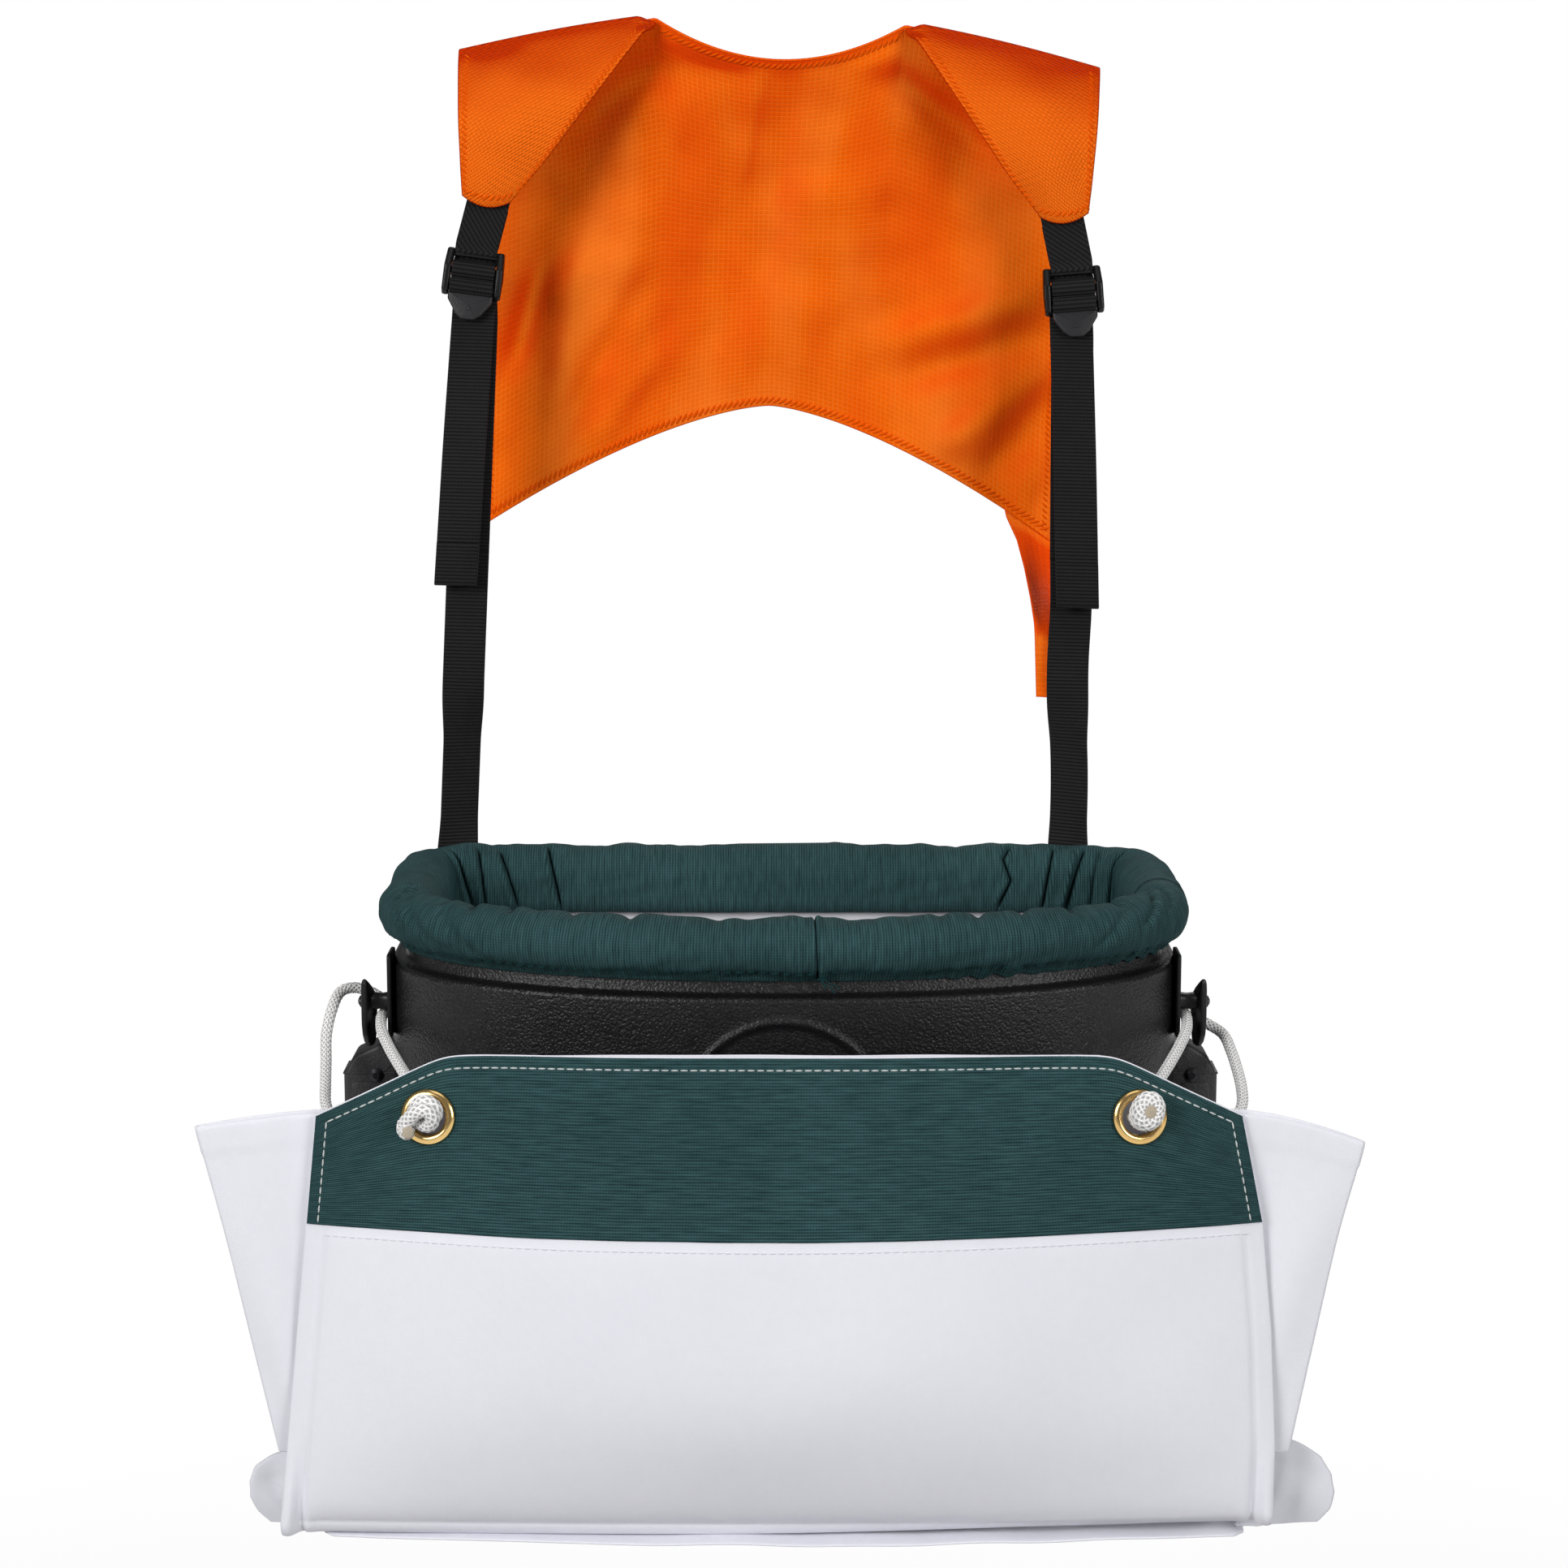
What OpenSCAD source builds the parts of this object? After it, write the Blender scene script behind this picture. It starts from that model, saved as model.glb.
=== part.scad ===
// Fruit picking bag: a rigid oval bucket with a padded rim, a canvas drop-bottom skirt whose end
// folds up in front and hooks on by two rope loops, and a shoulder harness with ladder-lock straps.
// Origin at the shoulder rest, midway between the shoulders. +Z is up, -Y is the front, +X is right.

/* [Harness] */
// Height of the shoulder rest above the middle of the rim pad
rim_drop = 500; // [440:1:580]
// Distance of the bucket's centre in front of the shoulder rest
bucket_reach = 172; // [160:1:200]
// Sideways lean of the hanging harness, in degrees
harness_lean = 1.6; // [0:0.1:2]
// Sideways shift of the hanging harness
harness_shift = -2; // [-4:0.5:4]
// Half the neck opening, at the shoulder crest
neck_half = 74; // [60:1:90]
// Half the width over the shoulders
shoulder_half = 190; // [180:1:210]
// Fall of the shoulder crest from the neck to the arm
shoulder_fall = 24; // [10:1:40]
// Dip of the neckline at the middle of the back
neck_dip = 22; // [10:1:40]
// Length of the back panel at its middle
panel_len = 228; // [180:1:260]
// Depth of the back panel's lower corners below the crest
corner_drop = 306; // [290:1:320]
// How much narrower each side of the back panel is below the arms
panel_waist = 18; // [10:1:24]
// Thickness of the back panel's fabric
panel_t = 2; // [1:0.1:3]
// How far the back panel hangs behind the shoulder crest
panel_back = 24; // [16:1:40]
// Depth of the back panel's hanging folds
fold_depth = 5; // [0:0.5:8]
// Length of the side tails below the panel's corners
tail_len = 95; // [60:1:110]
// Width of a side tail
tail_w = 20; // [14:1:24]
// Drop of the shoulder flaps' lower ends below the crest
flap_drop = 113; // [100:1:124]
// Thickness of the padded shoulder flaps
shoulder_t = 4; // [2:0.5:6]
// How far the strap line hangs in front of the shoulder crest
strap_front = 24; // [20:1:32]

/* [Straps and buckles] */
// Width of the webbing
webbing_w = 25; // [20:1:30]
// Thickness of the webbing
webbing_t = 1.6; // [1:0.1:2]
// Inset of the buckles from the arm edges of the shoulders
strap_inset = 14; // [6:1:24]
// Drop of the buckles' top bars below the crest
buckle_drop = 141; // [136:1:160]
// Radius of a buckle's top bar
bar_r = 2; // [1.5:0.1:2.4]
// Radius of a buckle's two grip bars
grip_bar_r = 2.2; // [1.8:0.1:2.4]
// Drop of the upper grip bar below the top bar
grip_drop = 12; // [11:0.5:14]
// Drop of the lower grip bar below the upper one
grip_pitch = 11; // [10:0.5:13]
// Width of a buckle's side rail
rail_w = 3.5; // [2.5:0.1:4.5]
// Length of a buckle's thumb tab
tab_len = 15; // [10:0.5:18]
// Length of the free strap ends below the buckles
strap_end_len = 193; // [100:1:220]
// Slant of the short upper webbing towards the neck
web_slant = 14; // [0:1:16]
// Half the distance between the strap brackets
bracket_half = 187; // [180:1:192]
// Sideways offset of the straps on their bracket pins
strap_offset = -13; // [-13:0.5:13]
// Clear length of a bracket pin between its ears
pin_span = 54; // [53:1:60]
// Radius of a bracket pin
pin_r = 3; // [2:0.1:4]
// Distance of the bracket pins behind the bucket's centre
pin_back = 125; // [122:1:135]
// Drop of the bracket pins below the middle of the rim pad
pin_drop = 24; // [23:0.5:30]

/* [Bucket] */
// Outside width of the bucket
bucket_w = 444; // [400:1:480]
// Outside depth of the bucket
bucket_d = 228; // [210:1:260]
// Wall thickness of the bucket
wall = 3; // [2:0.1:4]
// Drop of the bucket's bottom edge below the middle of the rim pad
bucket_h = 200; // [180:1:220]
// Drop of the moulded shoulder below the middle of the rim pad
ledge_drop = 24; // [21:0.5:28]
// Inset of the neck above the moulded shoulder
neck_inset = 8; // [6:0.5:10]
// Radius of the plain round panel moulded in the front wall
disc_r = 56; // [40:1:60]
// Depth of the plain round panel
disc_depth = 1.2; // [0.6:0.1:1.8]
// Squareness of the plan at the front, 2 is an ellipse
front_power = 2.2; // [2:0.1:3]
// Squareness of the plan at the back
back_power = 7; // [4:0.5:8]

/* [Rim] */
// Outside radius of the padded rim
rim_r = 17; // [15:0.5:18]
// Thickness of the rim's fabric cover
cover_t = 1.4; // [0.8:0.1:2]
// Thickness of the canvas lining in the bucket
lining_t = 1.2; // [0.8:0.1:2]
// Angle of the cover's edge from straight under the padded rim
hem_angle = 18; // [15:1:30]
// Drop of the cover's inner hem below the middle of the rim pad
hem_drop = 19; // [18:0.5:24]

/* [Skirt] */
// Drop of the skirt's floor below the middle of the rim pad
bag_h = 313.8; // [295:0.1:330]
// Width of the skirt's floor
floor_w = 500; // [460:1:520]
// Reach of the skirt's floor behind the bucket's centre
floor_back = 88; // [70:1:110]
// Thickness of the canvas
canvas_t = 1.5; // [1:0.1:2]
// Overlap of the skirt's top on the bucket
skirt_lap = 40; // [30:1:50]
// Height of the clamp band round the skirt's top
band_h = 22; // [16:1:26]
// Thickness of the clamp band
band_t = 1.6; // [1:0.1:2.5]
// Number of rivets round the clamp band
band_rivets = 14; // [8:1:20]
// Radius of a rivet's head
rivet_r = 5; // [4:0.5:6]
// Reach of the folded corner ears past the middle
ear_reach = 298; // [290:1:304]
// Height of the folded corner ears
ear_h = 48; // [40:1:56]
// Thickness of the folded corner ears
ear_t = 10; // [6:1:14]

/* [Front flap] */
// Drop of the flap's top edge below the middle of the rim pad
flap_top_drop = 46; // [42:1:52]
// Half the width of the flap at the fold
flap_half = 264; // [258:1:270]
// How much narrower each side of the flap is at the top
flap_taper = 20; // [10:1:24]
// Reach of the fold in front of the bucket's centre
fold_front = 150; // [148:1:156]
// Outside radius of the bottom fold
fold_r = 9; // [7:0.5:10]
// Lean of the flap towards the bucket, from fold to top
flap_lean = 20; // [14:1:22]
// Forward bulge of the flap's face
flap_bulge = 34; // [20:1:40]
// Half the width of the flap's level top edge
bevel_half = 178; // [150:1:190]
// Fall of the bevelled top corners
bevel_fall = 35; // [24:1:42]
// Height of the green band on the flap
trim_h = 93; // [84:1:104]
// Thickness of the green band
trim_t = 1; // [0.6:0.1:1.4]
// Reach of the side gussets past the middle
gusset_reach = 313; // [300:1:325]

/* [Eyelets and ropes] */
// Half the distance between the eyelets
eyelet_half = 187; // [180:1:194]
// Drop of the eyelets below the flap's top edge
eyelet_drop = 33; // [30:1:38]
// Radius of an eyelet's hole
eyelet_r = 9.2; // [8.5:0.1:9.6]
// Radius of an eyelet's flange
flange_r = 14; // [13:0.5:16]
// Thickness of an eyelet's flange
flange_t = 1.6; // [1:0.1:2]
// Diameter of the rope
rope_d = 6; // [5:0.1:6.2]
// Radius of a stopper knot
knot_r = 11; // [10.5:0.1:13]
// Reach of a rope loop's slack half past the bucket's side
rope_bow = 31; // [26:1:40]
// Fall of a rope loop's slack half below the cleat's neck
rope_sag = 41; // [36:1:46]

/* [Cleats and lugs] */
// Distance of the rope cleats in front of the bucket's centre
cleat_front = 20; // [14:1:24]
// Drop of a cleat's neck below the middle of the rim pad
cleat_drop = 56; // [54:0.5:58]
// Gap between a cleat's tongue and its base plate
cleat_gap = 9.6; // [9:0.1:10.4]
// Rise of a cleat's neck above the middle of its tongue
neck_lift = 8; // [7:0.5:9]
// Height of a cleat's neck
neck_h = 9; // [7:0.5:10]
// Thickness of a cleat's base plate
cleat_base_t = 2.4; // [1.6:0.1:3]
// Thickness of a cleat's tongue
tongue_t = 4.6; // [3.5:0.1:5]
// Width of a cleat's tongue
tongue_w = 20; // [16:1:24]
// Reach of the side lugs past the bucket's wall
lug_reach = 28; // [20:1:32]
// Height of the side lugs
lug_h = 54; // [40:1:60]
// Width of the side lugs
lug_w = 26; // [20:1:30]
// Drop of the side lugs' tops below the middle of the rim pad
lug_drop = 75; // [73:1:80]

/* [Hidden] */
$fn = 48;

// Running gap between soft or moving faces, and clearance of a pin in its loop
gap = 0.3;
pin_gap = 0.05;
plan_points = 72;
rim_points = plan_points;
rim_steps = 14;
bag_at = [0, -bucket_reach, -rim_drop];
half_w = bucket_w / 2;
half_d = bucket_d / 2;
rim_inset = neck_inset + wall;
neck_top = 8;
strap_half = shoulder_half - strap_inset;
panel_half = shoulder_half - panel_waist;
strap_y = -strap_front;
strap_slope = (bucket_reach - pin_back - strap_front) / (rim_drop + pin_drop - buckle_drop - grip_drop);
ply_gap = 0.3;
grip_y = -(grip_bar_r + webbing_t / 2 + 0.2);
grip_low_y = grip_y - webbing_t - ply_gap - 0.2 - strap_slope * (grip_pitch + grip_bar_r);
floor_top = -bag_h + canvas_t;
floor_front = fold_front - fold_r;
fold_z = floor_top + gap + fold_r;
fold_mid_r = fold_r - canvas_t / 2;
flap_h = -flap_top_drop - fold_z;
left = -1;
right = 1;

// Helpers

function lerp(a, b, t) = a + (b - a) * t;
function signed_power(v, p) = sign(v) * pow(abs(v), p);
function smooth(t) = let (c = min(1, max(0, t))) c * c * (3 - 2 * c);
function unit(v) = v / norm(v);

// Closed outline of the bucket's plan, grown by an offset
function plan(grow, count = plan_points) = [
  for (i = [0:count - 1])
    let (angle = 360 * i / count, power = sin(angle) < 0 ? front_power : back_power)
      [(half_w + grow) * signed_power(cos(angle), 2 / power),
       (half_d + grow) * signed_power(sin(angle), 2 / power)]
];

// Distance of the plan's side wall from the middle, at a place along its depth
function wall_x(y, grow = 0) = let (power = y < 0 ? front_power : back_power)
  (half_w + grow) * pow(1 - pow(abs(y) / (half_d + grow), power), 1 / power);

// A point of the leaning harness, in the part's frame
function harness_point(p) = [
  harness_shift + p.x * cos(harness_lean) + p.z * sin(harness_lean),
  p.y,
  -p.x * sin(harness_lean) + p.z * cos(harness_lean)
];

module in_bag() { translate(bag_at) children(); }
module in_harness() { translate([harness_shift, 0, 0]) rotate([0, harness_lean, 0]) children(); }
module plan_ring(outer, inner, low, high) {
  translate([0, 0, low]) linear_extrude(high - low) difference() {
    polygon(plan(outer));
    polygon(plan(inner));
  }
}

// Two triangles across a four-cornered patch
function patch(a, b, c, d) = [[a, b, c], [a, c, d]];

// Solid through a run of closed sections, capped at both ends or closed on itself
module swept(sections, closed = false) {
  count = len(sections);
  size = len(sections[0]);
  sides = [
    for (i = [0:count - (closed ? 1 : 2)], j = [0:size - 1])
      let (n = (i + 1) % count, k = (j + 1) % size)
        each patch(i * size + j, i * size + k, n * size + k, n * size + j)
  ];
  caps = closed ? [] : [
    for (j = [1:size - 2]) each [[0, j + 1, j], [for (v = [0, j, j + 1]) (count - 1) * size + v]]
  ];
  polyhedron([for (s = sections) each s], concat(sides, caps));
}

// Solid between two grids of points that face each other, the first one towards -Y
module sheet(front, back) {
  rows = len(front);
  cols = len(front[0]);
  size = rows * cols;
  faces = [
    for (i = [0:rows - 2], j = [0:cols - 2])
      let (a = i * cols + j, b = a + 1, c = a + cols + 1, d = a + cols)
        each concat(patch(a, d, c, b), patch(size + a, size + b, size + c, size + d))
  ];
  rim = concat(
    [for (j = [0:cols - 1]) j],
    [for (i = [1:rows - 1]) i * cols + cols - 1],
    [for (j = [cols - 2:-1:0]) (rows - 1) * cols + j],
    [for (i = [rows - 2:-1:1]) i * cols]
  );
  edges = [
    for (i = [0:len(rim) - 1])
      let (a = rim[i], b = rim[(i + 1) % len(rim)]) each patch(a, b, size + b, size + a)
  ];
  polyhedron(concat([for (r = front) each r], [for (r = back) each r]), concat(faces, edges));
}

// Grid moved along Y
function moved(grid, dy) = [for (row = grid) [for (p = row) p + [0, dy, 0]]];

// Flat webbing along a path, its width along X
module ribbon(path, width = webbing_w, thick = webbing_t) {
  swept([
    for (i = [0:len(path) - 1])
      let (
        along = unit(path[min(i + 1, len(path) - 1)] - path[max(i - 1, 0)]),
        out = unit([0, along.z, -along.y]) * thick / 2,
        side = [width / 2, 0, 0]
      )
        [path[i] - side - out, path[i] - side + out, path[i] + side + out, path[i] + side - out]
  ]);
}

// Round tube along a path
module tube(path, diameter, sides = 8) {
  swept([
    for (i = [0:len(path) - 1])
      let (
        along = unit(path[min(i + 1, len(path) - 1)] - path[max(i - 1, 0)]),
        first = unit(cross(along, abs(along.x) < 0.9 ? [1, 0, 0] : [0, 1, 0])),
        second = cross(along, first)
      )
        [for (k = [0:sides - 1]) path[i] + (first * cos(360 * k / sides)
          + second * sin(360 * k / sides)) * diameter / 2]
  ]);
}

module x_bar(r, length) { rotate([0, 90, 0]) cylinder(r = r, h = length, center = true); }

// Harness panel and shoulders

panel_cols = [for (i = [-12:12]) signed_power(i / 12, 0.8)];
panel_rows = 14;

function crest_z(x) = abs(x) < neck_half
  ? -neck_dip * (1 - pow(x / neck_half, 2))
  : -shoulder_fall * (abs(x) - neck_half) / (shoulder_half - neck_half);
function hem_z(share) = -lerp(panel_len, corner_drop, pow(abs(share), 1.5));
function panel_width(t) = lerp(shoulder_half, panel_half, smooth(t / 0.3));
function panel_folds(share, t) = panel_back * sin(100 * pow(t, 0.7))
  + fold_depth * sin(180 * t) * cos(540 * share + 160 * t);

panel_front = [
  for (i = [0:panel_rows]) let (t = i / panel_rows) [
    for (share = panel_cols)
      [share * panel_width(t), gap / 2 + panel_folds(share, t),
       lerp(crest_z(share * shoulder_half), hem_z(share), t)]
  ]
];

module yoke_panel() {
  color("darkorange") in_harness() sheet(panel_front, moved(panel_front, panel_t));
}

// Corner of the back panel, where a side tail is sewn on
corner_y = gap / 2 + panel_folds(1, 1);

module side_tail(side) {
  top = harness_point([side * (panel_half - tail_w / 2), corner_y + panel_t / 2, -corner_drop - 2 * gap]);
  share = (corner_drop + tail_len - buckle_drop - grip_drop) / (rim_drop - buckle_drop);
  foot = strap_at(side, share) + [0, webbing_t / 2 + panel_t / 2 + gap, 0];
  color("darkorange") ribbon([top, lerp(top, foot, 0.5) + [0, 2, 0], foot], tail_w, panel_t);
}

shoulder_rows = 8;
shoulder_cols = 8;
flap_end_half = webbing_w / 2 + 2;
flap_end_y = strap_y - webbing_t - gap - shoulder_t / 2;

// Padded front of a shoulder, from the crest to the webbing, rounded at its end
function shoulder_point(side, across, t) = let (
  inner = lerp([neck_half, 0], [strap_half - 6 - flap_end_half, -flap_drop], t),
  outer = lerp([shoulder_half, -shoulder_fall], [strap_half - 6 + flap_end_half, -flap_drop], t),
  at = lerp(inner, outer, across),
  end_curve = 5 * pow(2 * across - 1, 2) * smooth((t - 0.7) / 0.3)
) [side * at[0], lerp(-gap / 2 - shoulder_t / 2, flap_end_y, sin(90 * min(1, t / 0.8))), at[1] + end_curve];

module shoulder_flap(side) {
  front = [
    for (i = [0:shoulder_rows]) [
      for (j = [0:shoulder_cols])
        let (across = side > 0 ? j / shoulder_cols : 1 - j / shoulder_cols)
          shoulder_point(side, across, i / shoulder_rows) - [0, shoulder_t / 2, 0]
    ]
  ];
  color("darkorange") in_harness() sheet(front, moved(front, shoulder_t));
}

// Straps and buckles

module at_buckle(side) {
  in_harness() translate([side * strap_half, strap_y, -buckle_drop]) children();
}

module upper_webbing(side) {
  lap = buckle_drop - flap_drop + 20;
  loop_r = bar_r + pin_gap;
  half = webbing_w / 2;
  low = loop_r + webbing_t / 2;
  knee = low + 2;
  slant = side * tan(web_slant) * (lap - 2);
  color([0.1, 0.1, 0.1]) at_buckle(side) {
    difference() {
      x_bar(loop_r + webbing_t, webbing_w);
      x_bar(loop_r, webbing_w + 1);
    }
    translate([0, webbing_t, 0]) rotate([90, 0, 0]) linear_extrude(2 * webbing_t) polygon([
      [-half, low], [half, low], [half, knee], [half - slant, low + lap], [-half - slant, low + lap], [-half, knee]
    ]);
  }
}

rail_in = webbing_w / 2 + 1;

module buckle(side) {
  low_y = grip_low_y;
  low_z = -grip_drop - grip_pitch;
  tab_lean = 14;
  tab_t = 3;
  color([0.08, 0.08, 0.09]) at_buckle(side) {
    for (s = [left, right])
      translate([s > 0 ? rail_in : -rail_in - rail_w, 0, 0]) rotate([90, 0, 90]) linear_extrude(rail_w)
        polygon([
          [bar_r + 1, 0], [bar_r, bar_r + 1], [-bar_r - 2, bar_r + 1],
          [low_y - grip_bar_r - 1, -grip_drop], [low_y - grip_bar_r - 1, low_z - 2],
          [low_y, low_z - grip_bar_r - 1.5], [bar_r - 1, -grip_drop]
        ]);
    x_bar(bar_r, 2 * rail_in + rail_w);
    translate([0, grip_y, -grip_drop]) x_bar(grip_bar_r, 2 * rail_in + rail_w);
    translate([0, low_y, low_z]) {
      x_bar(grip_bar_r, 2 * rail_in + rail_w);
      rotate([90 - tab_lean, 0, 0]) linear_extrude(tab_t, center = true) {
        polygon([[-rail_in, 0], [rail_in, 0], [rail_in / 2, -tab_len + 4], [-rail_in / 2, -tab_len + 4]]);
        translate([0, -tab_len + rail_in / 2]) circle(r = rail_in / 2);
      }
    }
  }
}

// A place along a main strap, from the upper grip bar to the bracket pin
function strap_top(side) = harness_point([side * strap_half, strap_y, -buckle_drop - grip_drop]);
function strap_foot(side) = bag_at + [side * bracket_half + strap_offset, pin_back, -pin_drop];
function strap_at(side, share) = lerp(strap_top(side), strap_foot(side), share);

module strap(side) {
  loop_r = pin_r + pin_gap;
  color([0.1, 0.1, 0.1]) {
    ribbon([strap_top(side), strap_foot(side) + [0, 0, loop_r + webbing_t / 2]]);
    translate(strap_foot(side)) difference() {
      x_bar(loop_r + webbing_t, webbing_w);
      x_bar(loop_r, webbing_w + 1);
    }
    at_buckle(side) translate([0, grip_y, -grip_drop]) intersection() {
      difference() {
        x_bar(grip_bar_r + 0.2 + webbing_t, webbing_w);
        x_bar(grip_bar_r + 0.2, webbing_w + 1);
      }
      translate([-webbing_w, -webbing_w, 0]) cube(2 * webbing_w);
    }
  }
}

module strap_end(side) {
  lay = [0, -webbing_t - ply_gap, 0];
  front = grip_y - grip_bar_r - 0.2 - webbing_t / 2;
  x = side * strap_half;
  below = strap_y + front;
  run = norm(strap_foot(side) - strap_top(side));
  color([0.1, 0.1, 0.1]) ribbon([
    harness_point([x, below, -buckle_drop - grip_drop - 3 * gap]),
    harness_point([x, below, -buckle_drop - grip_drop - 2]),
    strap_at(side, (grip_pitch - 1) / run) + lay,
    strap_at(side, (strap_end_len - grip_drop) / run) + lay
  ]);
}

// Bucket and rim

module bucket_shell() {
  bead = 3;
  disc_z = -ledge_drop - 12 - disc_r;
  color([0.09, 0.09, 0.1]) in_bag() difference() {
    union() {
      plan_ring(0, -wall, -bucket_h, -ledge_drop);
      plan_ring(0, -rim_inset, -ledge_drop - wall, -ledge_drop);
      plan_ring(-neck_inset, -rim_inset, -ledge_drop, neck_top);
      plan_ring(-wall, -wall - bead, -bucket_h, -bucket_h + bead);
    }
    intersection() {
      translate([0, -half_d, disc_z]) rotate([90, 0, 0]) cylinder(r = disc_r, h = bucket_d, center = true);
      plan_ring(1, -disc_depth, -bucket_h + 2 * bead, -ledge_drop - wall);
      translate([-half_w, -bucket_d, -bucket_h]) cube([bucket_w, bucket_d, bucket_h]);
    }
  }
}

// Sections round the rim, one at each place of the neck's middle line
function rim_sections(profile) = let (line = plan(-neck_inset - wall / 2, rim_points)) [
  for (i = [0:rim_points - 1])
    let (
      ahead = line[(i + 1) % rim_points] - line[(i + rim_points - 1) % rim_points],
      out = unit([ahead.y, -ahead.x])
    )
      [for (p = profile) [line[i].x + out.x * p[0], line[i].y + out.y * p[0], p[1]]]
];

// Round of a tube seated on the neck, open downwards by an angle on each side
function round_over(r, open, steps) = [
  for (k = [0:steps]) let (a = lerp(open - 90, 270 - open, k / steps)) r * [cos(a), sin(a)]
];

// Outline of a split tube, with a hem at its inner edge
function split_tube(outer, inner, open, steps, hem) = let (under = round_over(inner, open, steps))
  concat(round_over(outer, open, steps), hem, [for (k = [steps:-1:0]) under[k]]);

module rim_foam() {
  outer = rim_r - cover_t - 2 * gap;
  slot = wall * 0.75;
  lip_top = neck_top + gap;
  open = asin(slot / outer);
  profile = concat(round_over(outer, open, rim_steps), [[-slot, lip_top], [slot, lip_top]]);
  color("dimgray") in_bag() swept(rim_sections(profile), closed = true);
}

// Cover that wraps the foam and hangs down inside as a hem, over the lining's top edge
module rim_cover() {
  hem_in = -wall / 2 - lining_t - 2 * gap;
  hem = [[hem_in - cover_t, -hem_drop], [hem_in, -hem_drop]];
  color([0.1, 0.24, 0.24]) in_bag()
    swept(rim_sections(split_tube(rim_r, rim_r - cover_t, hem_angle, rim_steps, hem)), closed = true);
}

module bucket_lining() {
  top = -hem_drop - gap;
  color("white") in_bag() plan_ring(-rim_inset - gap, -rim_inset - gap - lining_t, -bucket_h, top);
}

// Brackets, cleats and lugs on the bucket

module rivet(r = rivet_r) {
  cylinder(r = r, h = 1);
  translate([0, 0, 1]) cylinder(r1 = r, r2 = r / 2, h = 1.2);
}

// Everything outside the bucket's wall, so that a base seats on it
module clear_of_wall() {
  difference() {
    children();
    translate([0, 0, -bucket_h]) linear_extrude(2 * bucket_h) polygon(plan(0));
  }
}

ear_plate_t = 4;
bracket_h = 30;
bracket_low = -pin_drop - bracket_h;

module strap_bracket(side) {
  half = pin_span / 2 + ear_plate_t;
  color([0.09, 0.09, 0.1]) in_bag() translate([0, 0, -ledge_drop - gap]) clear_of_wall()
    translate([side * bracket_half, 0, ledge_drop + gap]) difference() {
      union() {
        translate([-half, half_d / 2, bracket_low]) cube([2 * half, half_d / 2 + 2, bracket_h - 8]);
        for (s = [left, right])
          translate([s > 0 ? pin_span / 2 : -half, 0, 0]) rotate([90, 0, 90]) linear_extrude(ear_plate_t) {
            polygon([[half_d / 2, bracket_low], [half_d, bracket_low], [pin_back + 5, -pin_drop - 5],
              [pin_back + 5, -pin_drop], [pin_back - 5, -pin_drop], [half_d, -pin_drop - 8],
              [half_d / 2, -pin_drop - 8]]);
            translate([pin_back, -pin_drop]) circle(r = 5);
          }
      }
      translate([0, pin_back, -pin_drop]) x_bar(pin_r + pin_gap, 3 * half);
    }
}

module bracket_pin(side) {
  head_t = 1.5;
  length = pin_span + 2 * ear_plate_t;
  color("silver") in_bag() translate([side * bracket_half, pin_back, -pin_drop]) {
    x_bar(pin_r, length + 2 * gap);
    for (s = [left, right]) translate([s * (length / 2 + gap + head_t / 2), 0, 0]) x_bar(pin_r + 1.5, head_t);
  }
}

module bracket_rivets() {
  color("silver") in_bag() for (side = [left, right], s = [left, right])
    translate([side * bracket_half + s * pin_span / 4, half_d + 2, bracket_low + 11]) rotate([-90, 0, 0])
      rivet();
}

cleat_wall = wall_x(-cleat_front);
cleat_face = cleat_wall + cleat_base_t;
tongue_lean = 7;
tongue_turn = 12;
tongue_x = cleat_face + cleat_gap;

// Base plate that stands up past the moulded shoulder, a neck and a pointed tongue
module cleat(side) {
  neck_w = 8;
  tongue_h = 34;
  tongue_low = tongue_h * 0.18;
  base_top = cleat_drop - rim_r - 3;
  color([0.08, 0.08, 0.09]) in_bag() clear_of_wall() translate([0, -cleat_front, -cleat_drop])
    mirror([side > 0 ? 0 : 1, 0, 0]) {
      translate([half_w / 2, -tongue_w / 2 - 2, -tongue_low - 5])
        cube([cleat_face - half_w / 2, tongue_w + 4, base_top + tongue_low + 5]);
      translate([half_w / 2, -neck_w / 2, neck_lift - neck_h / 2])
        cube([tongue_x - half_w / 2 + 2, neck_w, neck_h]);
      translate([tongue_x, 0, 0]) rotate([0, tongue_lean, tongue_turn]) rotate([90, 0, 90]) linear_extrude(tongue_t)
        polygon([[-tongue_w / 2, -tongue_low], [-tongue_w / 3, -tongue_h / 2], [tongue_w / 3, -tongue_h / 2],
          [tongue_w / 2, -tongue_low], [tongue_w / 6, tongue_h * 0.62], [-tongue_w / 6, tongue_h * 0.62]]);
    }
}

module cleat_rivets() {
  color("silver") in_bag() for (side = [left, right])
    translate([side * tongue_x, -cleat_front, -cleat_drop]) rotate([0, side * tongue_lean, side * tongue_turn])
      translate([side * (tongue_t + gap), 0, neck_lift]) rotate([0, side * 90, 0]) rivet(3.4);
}

function corner_arc(centre, r, from, to, steps = 8) = [
  for (k = [0:steps]) let (a = lerp(from, to, k / steps)) centre + r * [cos(a), sin(a)]
];

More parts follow.
